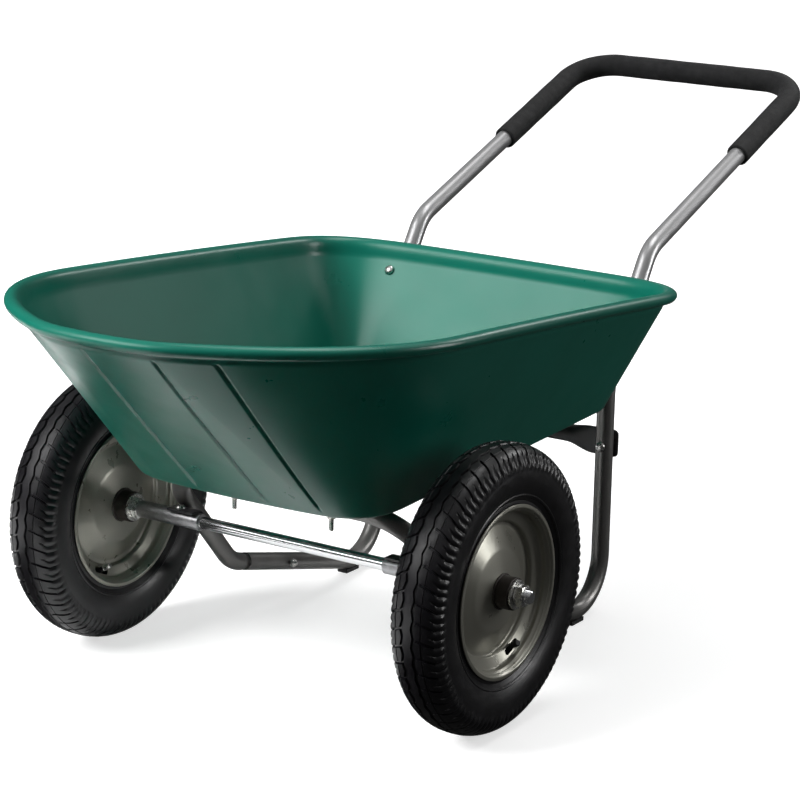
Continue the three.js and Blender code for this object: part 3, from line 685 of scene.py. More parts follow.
RUN_WAY = unit(vec(0, HEEL_BEND[0] - LOW_BEND[0], HEEL_BEND[1] - LOW_BEND[1]))
BACK_WAY = unit(vec(0, HANDLE_BEND[0] - KNEE_BEND[0], HANDLE_BEND[1] - KNEE_BEND[1]))
SLOPE_WAY = unit(vec(0, HANDLE_BAR[0] - HANDLE_BEND[0], HANDLE_BAR[1] - HANDLE_BEND[1]))
WALL_BOLT_WAY = vec(0, BACK_WAY[2], -BACK_WAY[1])


def spigot_neck(mouth, way, neck):
    """The reduced end of a tube, from its shoulder to just inside the mouth of the next tube."""
    profile = [(SPIGOT_R - 1, -neck - 6), (TUBE_R - 0.15, -neck - 6), (TUBE_R - 0.15, -neck),
               (SPIGOT_R, -neck * 0.65), (SPIGOT_R, 3), (SPIGOT_R - 1, 3)]
    return turned(profile, mouth, way, 32)


def make_front_frame():
    ends = [frame_joint(side) - RUN_WAY * FRAME_NECK for side in (-1, 1)]
    corners = [(ends[0], 0), corner(-1, LOW_BEND), corner(-1, FRONT_BAR), corner(1, FRONT_BAR),
               corner(1, LOW_BEND), (ends[1], 0)]
    tube = swept(bent_path(corners), TUBE_R, wall=TUBE_WALL)
    necks = [spigot_neck(frame_joint(side), RUN_WAY, FRAME_NECK) for _, side in SIDES]
    new_piece("front_frame", *joined(tube, *necks), "frame_paint", ROOT, ["front_frame_tube"])


def make_leg(name, side):
    start = frame_joint(side) + RUN_WAY * TUBE_END_GAP
    end = handle_joint(side)
    tube = swept(bent_path([(start, 0), corner(side, HEEL_BEND), corner(side, KNEE_BEND), (end, 0)]),
                 TUBE_R, wall=TUBE_WALL)
    neck = spigot_neck(end + BACK_WAY * HANDLE_NECK, BACK_WAY, HANDLE_NECK)
    new_piece(f"{name}_leg", *joined(tube, neck), "frame_paint", ROOT, [f"{name}_leg_tube"])


def handle_corners():
    low = [(handle_joint(side) + BACK_WAY * HANDLE_NECK, 0) for side in (-1, 1)]
    return [low[0], corner(-1, HANDLE_BEND), corner(-1, HANDLE_BAR), corner(1, HANDLE_BAR),
            corner(1, HANDLE_BEND), low[1]]


def make_handle():
    tube = swept(bent_path(handle_corners()), TUBE_R, wall=TUBE_WALL)
    new_piece("push_handle", *tube, "handle_paint", ROOT, ["handle_tube"])


def make_grip():
    """A foam sleeve with soft ends and a slightly uneven skin."""
    segments, end_round, end_depth = 48, 2.6, 14
    ends = [corner(side, HANDLE_BAR)[0] - SLOPE_WAY * GRIP_REACH[name] for name, side in SIDES]
    path = bent_path([(ends[0], 0), corner(-1, HANDLE_BAR), corner(1, HANDLE_BAR), (ends[1], 0)])
    stations = resampled(path, 6)
    lengths = [0.0]
    for (p, _), (q, _) in zip(stations, stations[1:]):
        lengths.append(lengths[-1] + float(np.linalg.norm(q - p)))

    def radius(i, _):
        wave = 0.10 * math.sin(lengths[i] / 17.0) + 0.08 * math.sin(lengths[i] / 7.3 + 1)
        return GRIP_R - 0.25 + wave

    points, _ = swept(stations, radius, segments)
    rings = [points[i * segments:(i + 1) * segments] for i in range(len(stations))]
    bore = TUBE_R + 0.25
    for at, inwards in ((0, 1), (-1, -1)):
        centre, way = stations[at]
        spokes = rings[at] - centre
        r = np.linalg.norm(spokes, axis=1, keepdims=True)
        mouth = []
        for share in np.linspace(0, 1, 7):
            a = share * math.pi / 2
            size = r - end_round * (1 - math.sin(a))
            mouth.append(centre + spokes / r * size + way * inwards * end_round * (1 - math.cos(a)))
        inner = [centre + spokes / r * bore + way * inwards * d for d in (end_depth, 0.8)]
        lip = [centre + spokes / r * (bore + 0.7)]
        if at == 0:
            rings = [*inner, *lip, *mouth, *rings[2:]]
        else:
            rings = [*rings[:-2], *reversed(mouth), *lip, *reversed(inner)]
    grip = new_piece("grip_sleeve", *grid(rings), "foam", ROOT, ["foam_grip"], sharp=60)


def make_brace():
    """A round tube whose ends are pressed flat against the backs of the legs."""
    back = KNEE_BEND[0] + TUBE_R + GAP
    segments, end_length, end_drop, squareness = 36, 5.0, 3.5, 0.45
    stations = []
    for x in np.linspace(BRACE_END, 90, 40):
        flat = float(np.clip((x - BRACE_ROUND_END) / BRACE_PRESS_LENGTH, 0, 1))
        flat = flat * flat * (3 - 2 * flat)
        stations.append((x, flat))
    rings = []
    cs, sn = circle(segments)
    rows = [(-x, flat) for x, flat in stations] + list(reversed(stations))
    for x, flat in rows:
        end = max(0.0, 1 - (BRACE_END - abs(x)) / end_length)
        depth = BRACE_R + (BRACE_FLAT_T / 2 - BRACE_R) * flat
        height = BRACE_R + (BRACE_FLAT_HALF - BRACE_R) * flat - end_drop * end * end
        power = 1 - squareness * flat
        y = back + depth * (1 + np.sign(cs) * np.abs(cs) ** power)
        z = BRACE_Z + height * np.sign(sn) * np.abs(sn) ** power
        rings.append(np.column_stack([np.full(segments, x), y, z]))
    new_piece("rear_brace_tube", *grid(rings), "black_paint", ROOT, ["rear_brace"], sharp=50)


# ---- axle ----
def threaded(radius, start, end, pitch=1.5, depth=0.5):
    """Lathe points of a threaded stretch."""
    out = []
    h = start
    while h < end - pitch:
        out += [(radius - depth, h), (radius, h + pitch * 0.5)]
        h += pitch
    return [*out, (radius - depth, end)]


def make_axle():
    """The rod, chamfered and threaded at both ends."""
    length = 2 * AXLE_HALF
    end = [(AXLE_R - 1.2, 0), (AXLE_R - 0.2, 1.2), *threaded(AXLE_R - 0.1, 1.4, 22), (AXLE_R, 23)]
    profile = [*end, *[(r, length - h) for r, h in reversed(end)]]
    rod = turned(profile, vec(-AXLE_HALF, 0, WHEEL_R), X, 48)
    new_piece("axle_shaft", *rod, "steel", ROOT, ["axle_rod"], slot="zinc")


def make_sleeve(name, side):
    outer_end = TRACK - HUB_HALF - WASHER_WIDTH - INNER_NUT_WIDTH - 3 * GAP
    start = vec(side * SLEEVE_INNER_END, 0, WHEEL_R)
    width = outer_end - SLEEVE_INNER_END
    shape = turned_ring(start, vec(side, 0, 0), AXLE_R + 0.2, SLEEVE_R, width, 0.5, 48)
    new_piece(f"{name}_sleeve", *shape, "sleeve", ROOT, [f"{name}_axle_sleeve"])


def thick_strip(line, thickness, start, end):
    """A plate of one thickness that follows a (y, z) line, from x = start to x = end."""
    line = [np.asarray(p, float) for p in line]
    normals = []
    for i, p in enumerate(line):
        way = unit(line[min(i + 1, len(line) - 1)] - line[max(i - 1, 0)])
        normals.append(vec(-way[1], way[0]))
    outer = [p + n * thickness for p, n in zip(line, normals)]
    loop = np.array([*line, *reversed(outer)])
    inset = 0.6
    rings = []
    for x, shrink in ((start, inset), (start + inset, 0), (end - inset, 0), (end, inset)):
        body = loop.copy()
        if shrink:
            for i, n in enumerate(normals):
                body[i] += n * shrink
                body[-1 - i] -= n * shrink
        rings.append(np.column_stack([np.full(len(body), x), body]))
    return grid(rings)


def make_bracket(name, side):
    """A folded plate: one leg lies on the side tube, the other goes over the sleeve."""
    tube_way = unit(vec(LOW_BEND[0] - FRONT_BAR[0], LOW_BEND[1] - FRONT_BAR[1]))
    to_axle = vec(tube_way[1], -tube_way[0])
    start = vec(FRONT_BAR[0], FRONT_BAR[1])
    axle = vec(-FRONT_BAR[0], WHEEL_R - FRONT_BAR[1])
    plate_out = float(axle @ to_axle) - SLEEVE_R - GAP
    shelf = WHEEL_R + SLEEVE_R + GAP
    run = (shelf - FRONT_BAR[1] - to_axle[1] * plate_out) / tube_way[1]
    fold = start + tube_way * run + to_axle * plate_out
    low_end = start + tube_way * (float(axle @ tube_way) + BRACKET_TUBE_RUN) + to_axle * plate_out
    line = rounded([vec(-SLEEVE_R - BRACKET_LIP, shelf), fold, low_end], 5, 6)
    low, high = (BRACKET_INNER, BRACKET_OUTER) if side > 0 else (-BRACKET_OUTER, -BRACKET_INNER)
    plate = thick_strip(line, BRACKET_PLATE, low, high)
    new_piece(f"{name}_bracket", *plate, "black_paint", ROOT, [f"{name}_axle_bracket"], sharp=40)


def hex_nut(origin, direction, flats, width, bore):
    """A hexagon nut with the rounded chamfer arcs of a turned face."""
    direction = unit(direction)
    u, v = side_axes(direction)
    count = 72
    angles = np.arange(count) * 2 * math.pi / count
    local = np.mod(angles, math.pi / 3) - math.pi / 6
    hexagon = flats / 2 / np.cos(local)
    drop = (hexagon - flats / 2) * math.tan(math.radians(30)) + 0.15

    def ring(radius, height):
        radius = np.broadcast_to(radius, angles.shape)
        height = np.broadcast_to(height, angles.shape)
        out = radius * np.cos(angles), radius * np.sin(angles)
        return origin + np.outer(out[0], u) + np.outer(out[1], v) + np.outer(height, direction)

    face = flats / 2 * 0.97
    mouth = 0.5
    rings = [ring(bore, mouth), ring(bore + mouth, 0), ring(face, 0), ring(hexagon, drop),
             ring(hexagon, width - drop), ring(face, width), ring(bore + mouth, width),
             ring(bore, width - mouth)]
    return grid(rings, loop=True)


def make_axle_nuts(name, side):
    """A washer and a nut on each side of the wheel."""
    out = vec(side, 0, 0)

    def at(offset):
        return vec(side * (TRACK + offset), 0, WHEEL_R)

    washer_at = HUB_HALF + GAP
    nut_at = washer_at + WASHER_WIDTH + GAP
    bore = AXLE_R + 0.15
    inner_washer_at, inner_nut_at = -washer_at - WASHER_WIDTH, -nut_at - INNER_NUT_WIDTH
    for end, washer_end, w, nut_end, n, width in (
            ("", washer_at, "axle_washer", nut_at, "outer", OUTER_NUT_WIDTH),
            ("inner_", inner_washer_at, "inner_axle_washer", inner_nut_at, "inner", INNER_NUT_WIDTH)):
        washer = turned_ring(at(washer_end), out, bore, WASHER_R, WASHER_WIDTH, 0.45, 56)
        new_piece(f"{name}_{end}washer", *washer, "zinc", ROOT, [f"{name}_{w}"])
        nut = hex_nut(at(nut_end), out, NUT_FLATS, width, bore)
        new_piece(f"{name}_{n}_nut", *nut, "zinc", ROOT, [f"{name}_{n}_axle_nut"])


# ---- wheels ----
def carcass(across):
    """Tyre surface (radius, offset) from the bead at -1 over the crown at 0 to the bead at 1."""
    middle_r, side_h, power = 141.5, 47.0, 2 / 2.35
    a = across * 0.5 * math.pi * 1.5
    size = abs(a)
    if size <= math.pi / 2:
        r = middle_r + (WHEEL_R - middle_r) * math.cos(size) ** power
        s = TYRE_HALF_WIDTH * math.sin(size) ** power
    else:
        r = middle_r - side_h * math.sin(size - math.pi / 2)
        s = TYRE_HALF_WIDTH * math.cos(size - math.pi / 2)
    return r, math.copysign(s, across)


# Columns of one tread pitch: (share of the pitch, depth of the long slot, depth of the short slot).
TREAD_COLUMNS = [(0.00, 1, 1), (0.035, 1, 1), (0.10, 1, 1), (0.135, 0, 0), (0.21, 0, 0), (0.30, 0, 0),
                 (0.39, 0, 0), (0.47, 0, 0), (0.50, 0, 1), (0.60, 0, 1), (0.635, 0, 0), (0.72, 0, 0),
                 (0.81, 0, 0), (0.90, 0, 0), (0.965, 0, 0)]


# Bands from the crown to the bead on one side: the kind of each and the shares at which its rows lie.
TREAD_BANDS = [
    ("rib", (0.0, 0.030, 0.042)), ("groove", (0.052, 0.078)), ("block", (0.088, 0.125, 0.165)),
    ("line", (0.172, 0.182)), ("block", (0.190, 0.23, 0.27, 0.31, 0.345)),
    ("shoulder", (0.38, 0.41, 0.44, 0.47, 0.50)), ("lug_end", (0.53, 0.56)),
    ("plain", (0.59, 0.62, 0.66, 0.70, 0.74, 0.78, 0.82, 0.86, 0.885)), ("ring", (0.895, 0.915)),
    ("plain", (0.925, 0.96, 0.985)),
]


def tread_depth(kind, u, long_slot, short_slot, share):
    """How deep a tyre point lies below the full tread surface, in millimetres."""
    gap = 1 - abs(math.sin(2 * math.pi * (u - LUG_GAP_AT))) ** 0.6
    if kind == "rib":
        return 0.0
    if kind == "groove":
        return 2.6
    if kind == "line":
        return 0.9 if not long_slot else 3.0
    if kind == "block":
        return 3.0 * long_slot + (1.6 * short_slot * min(1, max(0, (share - 0.28) / 0.05)))
    if kind == "shoulder":
        return 3.0 * gap
    if kind == "lug_end":
        return 1.2 + 1.2 * gap
    if kind == "ring":
        return 1.5
    return 2.5


def tread_shift(share, u):
    """How far a tread point is turned, in pitches, and slid sideways, in millimetres."""
    size = abs(share)
    lean = 0.55 * min(1, size / 0.4) ** 1.6
    stagger = 0.5 * min(1, max(0, (size - 0.03) / 0.055)) if share < 0 else 0.0
    zigzag = abs(2 * ((u + stagger) % 1) - 1) * 2 - 1
    if size >= 0.12:
        return stagger + lean, 0.0
    return stagger + lean, zigzag * (1.3 if size < 0.09 else 0.52)


def make_tyre(name, centre):
    """A tyre with zigzag grooves, slotted blocks, lugs at the shoulders and a ring near each bead."""
    half = [(share, kind) for kind, shares in TREAD_BANDS for share in shares]
    rows = [(-share, kind) for share, kind in reversed(half)] + half[1:]
    pitch = 2 * math.pi / TREAD_PITCHES
    columns = [(k, column) for k in range(TREAD_PITCHES) for column in TREAD_COLUMNS]
    rings = []
    for share, kind in rows:
        r0, s0 = carcass(share)
        r1, s1 = carcass(share + 1e-3)
        tangent = unit(vec(r1 - r0, s1 - s0))
        normal = vec(tangent[1], -tangent[0])
        points = []
        for k, (u, long_slot, short_slot) in columns:
            depth = tread_depth(kind, u, long_slot, short_slot, abs(share))
            turn, slide = tread_shift(share, u)
            angle = (k + u + turn) * pitch
            r = r0 - normal[0] * depth
            s = s0 - normal[1] * depth + slide
            points.append((s, r * math.sin(angle), -r * math.cos(angle)))
        rings.append(centre + np.array(points))
    # The inside of the tyre, from the bead up to the crown.
    bead_in = FLANGE_OFFSET - SHEET - 0.9
    lining = [(FLANGE_R + 1.5, bead_in), (FLANGE_R - 1, bead_in), (BEAD_R + 0.6, bead_in - 1),
              (BEAD_R + 0.6, 16), (FLANGE_R + 10, 24), (WHEEL_R - 40, TYRE_HALF_WIDTH - 7),
              (WHEEL_R - 12, 16)]
    back = [*lining, *[(r, -s) for r, s in reversed(lining)]]
    angles = np.array([(k + u) * pitch for k, (u, _, _) in columns])
    for r, s in back:
        ring = np.column_stack([np.full(len(angles), s), r * np.sin(angles), -r * np.cos(angles)])
        rings.append(centre + ring)
    points, faces = grid(rings, loop=True)
    faces = [tuple(reversed(f)) for f in faces]
    new_piece(f"{name}_tyre_tread", points, faces, "tyre", f"{name}_wheel", [f"{name}_tyre"], sharp=32)


def rim_profile():
    """Closed section of one pressed rim half as (radius, offset)."""
    t = SHEET
    corners = [
        ((FLANGE_R, FLANGE_OFFSET - 0.2), 1.0), ((FLANGE_R, FLANGE_OFFSET - t), 0.9),
        ((BEAD_R, FLANGE_OFFSET - t), 3), ((BEAD_R, 14), 4), ((WELL_R, 8), 4), ((WELL_R, 0.2), 0.4),
        ((WELL_R - 8, 0.2), 3), ((50, 11), 30), ((HUB_R + 0.4, 16.5), 0.5),
        ((HUB_R + 0.4, 16.5 + t), 0.5), ((51, 11 + t), 32), ((WELL_R - 8, 2.9), 7),
        ((WELL_R - t, 2.9), 2.5), ((WELL_R - t, 8.5), 5), ((BEAD_R - t, 14.5), 5),
        ((BEAD_R - t, FLANGE_OFFSET - 8), 4), ((FLANGE_R - 4.6, FLANGE_OFFSET + 0.5), 2.2),
    ]
    return rounded([p for p, _ in corners], [r for _, r in corners], 6, closed=True)


def cut_out(obj, points, faces):
    """Cuts a closed shape out of a piece for good."""
    mesh = bpy.data.meshes.new("cutter")
    mesh.from_pydata(((np.asarray(points) + vec(0, AXLE_Y, 0)) * MM).tolist(), [],
                     [tuple(int(i) for i in f) for f in faces])
    mesh.materials.append(obj.data.materials[0])
    cutter = bpy.data.objects.new("cutter", mesh)
    bpy.context.scene.collection.objects.link(cutter)
    modifier = obj.modifiers.new("cut", "BOOLEAN")
    modifier.operation = "DIFFERENCE"
    modifier.solver = "EXACT"
    modifier.object = cutter
    graph = bpy.context.evaluated_depsgraph_get()
    made = bpy.data.meshes.new_from_object(obj.evaluated_get(graph))
    obj.modifiers.clear()
    obj.data = made
    made.shade_smooth()
    made.set_sharp_from_angle(angle=math.radians(32))
    bpy.data.objects.remove(cutter)


def valve_way(angle):
    return vec(0, math.sin(angle), -math.cos(angle))


def slot_cutter(centre, angle):
    """A round-ended slot through the well's slope."""
    out = valve_way(angle)
    along = np.cross(X, out)
    way = unit(out * 0.75 - X * 0.66)
    across = np.cross(way, along)
    middle = centre + out * ((WELL_R + BEAD_R) / 2 - 2) + X * 11.5
    length, half = 10.5, 3.6
    turn = np.linspace(-math.pi / 2, math.pi / 2, 9)
    loop = [(length + half * math.cos(a), half * math.sin(a)) for a in turn]
    loop += [(-length - half * math.cos(a), -half * math.sin(a)) for a in turn]
    rings = [middle + way * h + np.array([along * a + across * b for a, b in loop]) for h in (-9, 9)]
    return grid(rings)


def make_rims(name, centre, angle):
    """Two mirrored pressings; the valve half has the slot."""
    profile = rim_profile()
    for part, sign in (("valve_half", 1), ("plain_half", -1)):
        section = [(r, sign * s) for r, s in profile]
        if sign > 0:
            section.reverse()
        points, faces = turned(section, centre, X, 128, closed=True)
        rim = new_piece(f"{name}_rim_{part}_pressing", points, faces, "rim_paint", f"{name}_wheel",
                        [f"{name}_rim_{part}"], sharp=32)
        if sign > 0:
            cut_out(rim, *slot_cutter(centre, angle))


def weld_bead(centre, radius, offset, size, seed):
    """A ring of weld with uneven ripples."""
    steps, around = 120, 10
    rings = []
    for i in range(steps):
        a = 2 * math.pi * i / steps
        ripple = 1 + 0.10 * math.sin(a * 34 + seed) + 0.08 * math.sin(a * 13 + 2 * seed)
        spoke = vec(0, math.sin(a), -math.cos(a))
        b = np.arange(around) * 2 * math.pi / around
        rings.append(centre + spoke * radius + X * offset
                     + size * ripple * (np.outer(np.cos(b), spoke) + np.outer(np.sin(b), X)))
    return grid(rings, loop=True)


def make_hub(name, centre):
    """The hub barrel with a weld bead against each rim half, and a bearing in each end."""
    bore, bead_offset, bead_size, inset = BEARING_R + 0.3, 19.0, 1.7, 0.1
    profile = rounded([(HUB_R, -HUB_HALF), (HUB_R, HUB_HALF), (bore, HUB_HALF), (bore, -HUB_HALF)],
                      [0.8, 0.8, 0.6, 0.6], 4, closed=True)
    barrel = turned(profile, centre, X, 64, closed=True)
    beads = [weld_bead(centre, HUB_R + 0.8, sign * bead_offset, bead_size, 1 + sign) for sign in (-1, 1)]
    new_piece(f"{name}_hub_barrel", *joined(barrel, *beads), "hub_paint", f"{name}_wheel",
              [f"{name}_hub"])
    starts = {"valve_side": HUB_HALF - BEARING_WIDTH - inset, "plain_side": inset - HUB_HALF}
    for part, start in starts.items():
        bearing = turned_ring(centre + X * start, X, AXLE_R + 0.4, BEARING_R, BEARING_WIDTH, 0.6, 48)
        new_piece(f"{name}_{part}_bearing_ring", *bearing, "zinc", f"{name}_wheel",
                  [f"{name}_{part}_bearing"])


def make_valve(name, centre, angle):
    """A rubber stem that leans out of the slot, and its cap."""
    out = unit(valve_way(angle) * -0.56 + X * 0.83)
    foot = centre + valve_way(angle) * (WELL_R + 9) + X * 3
    stem = [(0.5, 0), (5, 0), (5, 2.6), (4.4, 4), (3.2, 6), (3.1, 13.5), (2.6, 13.8), (0.5, 13.9)]
    new_piece(f"{name}_valve_rubber", *turned(stem, foot, out, 24), "rubber", f"{name}_wheel",
              [f"{name}_valve_stem"])
    cap = [(0.5, 14), (3.8, 14), (4.2, 14.4), (3.9, 15.2), (4.2, 16.0), (3.9, 17), (4.2, 18), (4.2, 23),
           (3.4, 24.6), (0.5, 25)]
    # The cap's material is painted light: bright zinc on the left wheel for a highlight, black rubber on
    # the right wheel for shade in the slot.
    cap_painted_light = VALVE_CAP_PAINTED_LIGHT[name]
    new_piece(f"{name}_valve_cap", *turned(cap, foot, out, 24), cap_painted_light, f"{name}_wheel", [])


def make_wheel(name, side):
    centre = vec(side * TRACK, 0, WHEEL_R)
    make_tyre(name, centre)
    make_rims(name, centre, VALVE_ANGLE[name])
    make_hub(name, centre)
    make_valve(name, centre, VALVE_ANGLE[name])
    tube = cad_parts[f"{name}_inner_tube"]
    tube.data.materials.clear()
    tube.data.materials.append(MATERIALS["rubber"])


# ---- fasteners ----
def dome_bolt(head_at, way, length, thread_from):
    """A bolt with a low domed head; its shank runs along the way from the head's underside."""
    r = BOLT_HEAD_R
    dome = [(r * math.sin(a), -BOLT_HEAD_H * math.cos(a)) for a in np.linspace(0.12, math.pi / 2, 9)]
    profile = [*dome, (r, 0.15), (r - 0.4, 0.3), (BOLT_R, 0.3), (BOLT_R, thread_from),
               *threaded(BOLT_R, thread_from + 0.3, length - 0.8, 1.0, 0.35), (BOLT_R - 0.8, length)]
    return turned(profile, head_at, way, 36)


def make_bolt(name, head_at, way, grip, tail):
    """A bolt and its nut: grip is the clamped length and tail is what shows past the nut."""
    length = grip + BOLT_NUT_WIDTH + tail
    bolt = dome_bolt(head_at, way, length, max(1.0, grip - 6))
    new_piece(f"{name}_bolt_turned", *bolt, "zinc", ROOT, [f"{name}_bolt"])
    nut = hex_nut(head_at + way * (grip + GAP), way, BOLT_NUT_FLATS, BOLT_NUT_WIDTH, BOLT_R + 0.1)
    new_piece(f"{name}_nut_turned", *nut, "zinc", ROOT, [f"{name}_nut"])


def back_edge_at_tube(ring):
    """Where a ring's back edge crosses the plane of the right side tube."""
    for p, q in zip(ring, np.roll(ring, -1, axis=0)):
        if p[1] > 0 and p[0] >= TUBE_X > q[0]:
            return p + (q - p) * (p[0] - TUBE_X) / (p[0] - q[0])
    raise ValueError("the outline doesn't reach the side tubes")


def wall_bolt_point(side):
    low = back_edge_at_tube(FLOOR_LINE)
    high = back_edge_at_tube(offset_ring(RIM_LINE, *RIM_SECTION[0]))
    point = low + (high - low) * (WALL_BOLT_Z - low[2]) / (high[2] - low[2])
    return vec(side * TUBE_X, point[1], WALL_BOLT_Z)


def make_floor_bolt(name, side):
    """Through the tray's floor, its boss and the front cross bar."""
    floor_z = floor_bottom_at(FRONT_BAR[0])
    head = vec(side * FLOOR_BOLT_X, FRONT_BAR[0], floor_z + TRAY_WALL + 0.6)
    grip = head[2] - (FRONT_BAR[1] - TUBE_R)
    make_bolt(f"{name}_floor", head, -Z, grip, head[2] - grip - BOLT_NUT_WIDTH - FLOOR_BOLT_END_Z)


def make_wall_bolt(name, side):
    """Through the tray's back wall, a spacer and the handle joint."""
    head = wall_bolt_point(side) - WALL_BOLT_WAY * (TRAY_WALL + 0.9)
    to_tube = float((handle_joint(side) - head) @ WALL_BOLT_WAY)
    make_bolt(f"{name}_wall", head, WALL_BOLT_WAY, to_tube + TUBE_R, tail=5)
    start = TRAY_WALL + 1.9
    width = to_tube - TUBE_R - start - 0.4
    bore, outer = BOLT_R + 0.3, 8
    shape = turned_ring(head + WALL_BOLT_WAY * start, WALL_BOLT_WAY, bore, outer, width, 0.6, 32)
    new_piece(f"{name}_wall_spacer_ring", *shape, "black_paint", ROOT, [f"{name}_wall_spacer"])


def make_fasteners(name, side):
    make_floor_bolt(name, side)
    make_wall_bolt(name, side)

    under_head, past_tube = 0.1, 0.8
    inwards = vec(-side, 0, 0)
    frame_head = frame_joint(side, FRAME_BOLT_Y) - inwards * (TUBE_R + under_head)
    make_bolt(f"{name}_frame", frame_head, inwards, 2 * TUBE_R + past_tube, tail=4)

    brace_head = vec(side * TUBE_X, KNEE_BEND[0] - TUBE_R - under_head, BRACE_Z)
    make_bolt(f"{name}_brace", brace_head, Y, 2 * TUBE_R + GAP + BRACE_FLAT_T + past_tube, tail=4)

    top = SLEEVE_R + GAP + BRACKET_PLATE
    bracket_head = vec(side * BRACKET_BOLT_X, 0, WHEEL_R + top)
    bolt = dome_bolt(bracket_head, -Z, top + BRACKET_BOLT_DEPTH, 1)
    new_piece(f"{name}_bracket_bolt_turned", *bolt, "zinc", ROOT, [f"{name}_bracket_bolt"])


def make_foot_pad(name):
    """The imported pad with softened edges."""
    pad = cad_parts[f"{name}_foot_pad"]
    pad.data.materials.clear()
    pad.data.materials.append(MATERIALS["rubber"])
    bevel = pad.modifiers.new("soft_edges", "BEVEL")
    bevel.width = 1.2 * MM
    bevel.segments = 3
    bevel.limit_method = "ANGLE"


make_tray()
make_front_frame()
make_handle()
make_grip()
make_brace()
make_axle()
for name, side in SIDES:
    make_leg(name, side)
    make_foot_pad(name)
    make_sleeve(name, side)
    make_bracket(name, side)
    make_axle_nuts(name, side)
    make_wheel(name, side)
    make_fasteners(name, side)


# ---- studio ----
# Azimuth, elevation and roll in degrees, then metres, and the lens in millimetres.
CAMERA_ANGLES = (33.347, 14.944, 1.112)
CAMERA_TARGET = (-0.0609, 0.0090, 0.2819)
CAMERA_DISTANCE = 3.661
CAMERA_LENS = 122.3
# The sky's strength below and above the heights between which it brightens.
WORLD_GLOW = (0.035, 0.24)
SKY_RAMP = (0.20, 0.75)
# The floor's own light near the cart and far from it, and the distances of the change.
FLOOR_GLOW = (0.62, 1.0)
FLOOR_GLOW_REACH = (0.9, 2.4)
FLOOR_HALF = 60
# Each light's place, aim, size and power. The key only lights, and its twin is only reflected.
LIGHTS = {
    "key": ((-1.9, -2.9, 3.0), (0, 0, 0.3), (2.4, 2.4), 360),
    "key_reflection": ((-1.6, -3.0, 3.0), (0, 0, 0.3), (3.0, 3.0), 95),
    "top": ((0.3, 0.8, 4.0), (0, 0, 0.3), (2.4, 1.6), 45),
    "strip": ((2.3, 1.25, 0.9), (0, 0, 0.4), (0.5, 1.4), 22),
    "back": ((1.0, 3.0, 2.4), (0, 0, 0.3), (1.2, 0.6), 20),
    "card": ((0.72, 1.05, 0.95), (-0.25, -0.2, 0.45), (0.30, 0.40), 0.45),
}
# Each bounce sheet reaches from one x to another and from one y to another.
SHEETS = {"left": (-2.5, -0.55, -2.5, 0.1), "middle": (-0.31, 0.10, -1.6, 0.15)}


def stage_plane(name, corners, material, faces=((0, 1, 2, 3),)):
    mesh = bpy.data.meshes.new(name)
    mesh.from_pydata(corners, [], faces)
    mesh.materials.append(material)
    plane = bpy.data.objects.new(name, mesh)
    bpy.context.scene.collection.objects.link(plane)
    return plane


def flat_corners(x0, x1, y0, y1, z):
    return [(x0, y0, z), (x1, y0, z), (x1, y1, z), (x0, y1, z)]


def make_floor():
    """A bright floor and backdrop, and plain sheets that give the cart bounced light and reflections."""
    s = Shader("studio_floor", Roughness=0.9, Specular_IOR_Level=0.0, Emission_Color=(1, 1, 1, 1))
    reach = s.node("VectorMath", {0: s.place}, operation="LENGTH").outputs["Value"]
    glow = s.remap(reach, *FLOOR_GLOW, *FLOOR_GLOW_REACH)
    s.links.new(glow, s.bsdf.inputs["Emission Strength"])
    s.colour(s.mix(s.remap(s.noise(3, 2), 0, 1), (0.60, 0.60, 0.60), (0.62, 0.62, 0.62)))
    whole = (-FLOOR_HALF, FLOOR_HALF, -FLOOR_HALF, FLOOR_HALF)
    floor = stage_plane("floor", flat_corners(*whole, 0), s.material)
    corners = flat_corners(*whole, 0) + flat_corners(*whole, FLOOR_HALF)
    walls = [(k, (k + 1) % 4, (k + 1) % 4 + 4, k + 4) for k in range(4)]
    for plane in (floor, stage_plane("backdrop", corners, s.material, walls)):
        plane.visible_glossy = False
        plane.visible_diffuse = False
        plane.visible_shadow = False
    bounce = Shader("bounce_sheet", Roughness=1.0, Specular_IOR_Level=0.0)
    bounce.colour(bounce.mix(bounce.noise(2, 2), (0.82, 0.82, 0.82), (0.86, 0.86, 0.86)))
    for name, area in SHEETS.items():
        sheet = stage_plane(f"bounce_sheet_{name}", flat_corners(*area, -0.001), bounce.material)
        sheet.visible_camera = False
        sheet.visible_shadow = False


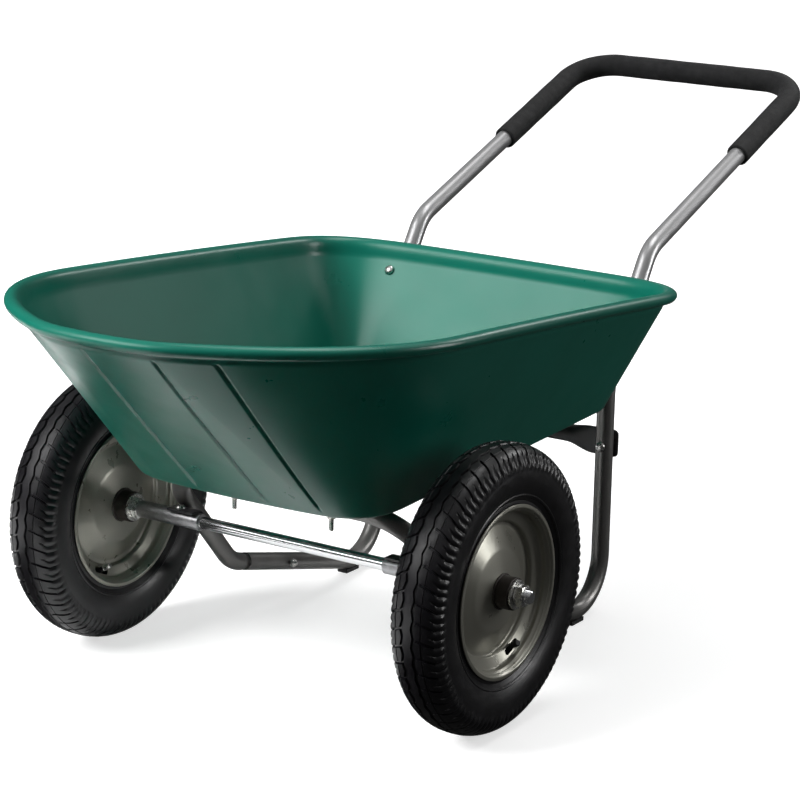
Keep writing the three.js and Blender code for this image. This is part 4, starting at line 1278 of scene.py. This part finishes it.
def area_light(name, place, target, size, power):
    light = bpy.data.lights.new(name, "AREA")
    light.shape = "RECTANGLE"
    light.size, light.size_y = size
    light.energy = power
    obj = bpy.data.objects.new(name, light)
    obj.location = place
    obj.rotation_euler = (Vector(target) - Vector(place)).to_track_quat("-Z", "Y").to_euler()
    bpy.context.scene.collection.objects.link(obj)


def make_lights():
    """A sky that brightens upwards, and the area lights."""
    world = bpy.data.worlds.new("studio")
    world.use_nodes = True
    nodes, links = world.node_tree.nodes, world.node_tree.links
    split = nodes.new("ShaderNodeSeparateXYZ")
    links.new(nodes.new("ShaderNodeTexCoord").outputs["Generated"], split.inputs[0])
    ramp = nodes.new("ShaderNodeMapRange")
    links.new(split.outputs["Z"], ramp.inputs["Value"])
    for socket, value in zip(("From Min", "From Max", "To Min", "To Max"), (*SKY_RAMP, *WORLD_GLOW)):
        ramp.inputs[socket].default_value = value
    links.new(ramp.outputs[0], nodes["Background"].inputs["Strength"])
    nodes["Background"].inputs["Color"].default_value = (1, 1, 1, 1)
    bpy.context.scene.world = world
    for name, (place, aim, size, power) in LIGHTS.items():
        area_light(name, place, aim, size, power)
    bpy.data.objects["key"].visible_glossy = False
    bpy.data.objects["key_reflection"].visible_diffuse = False
    bpy.data.objects["card"].visible_camera = False


def make_camera():
    """A long lens a few steps away, at the front right corner, looking slightly down."""
    azimuth, elevation, roll = (math.radians(a) for a in CAMERA_ANGLES)
    back = Vector((math.sin(azimuth) * math.cos(elevation), -math.cos(azimuth) * math.cos(elevation),
                   math.sin(elevation)))
    level = Vector((math.cos(azimuth), math.sin(azimuth), 0))
    upright = back.cross(level)
    right = level * math.cos(roll) + upright * math.sin(roll)
    up = back.cross(right)
    data = bpy.data.cameras.new("camera")
    data.lens = CAMERA_LENS
    data.sensor_width = 36
    camera = bpy.data.objects.new("camera", data)
    turn = Matrix((right, up, back)).transposed().to_4x4()
    place = Vector(CAMERA_TARGET) + back * CAMERA_DISTANCE
    camera.matrix_world = Matrix.Translation(place) @ turn
    bpy.context.scene.collection.objects.link(camera)
    bpy.context.scene.camera = camera


make_floor()
make_lights()
make_camera()
bpy.context.scene.view_settings.view_transform = "Standard"
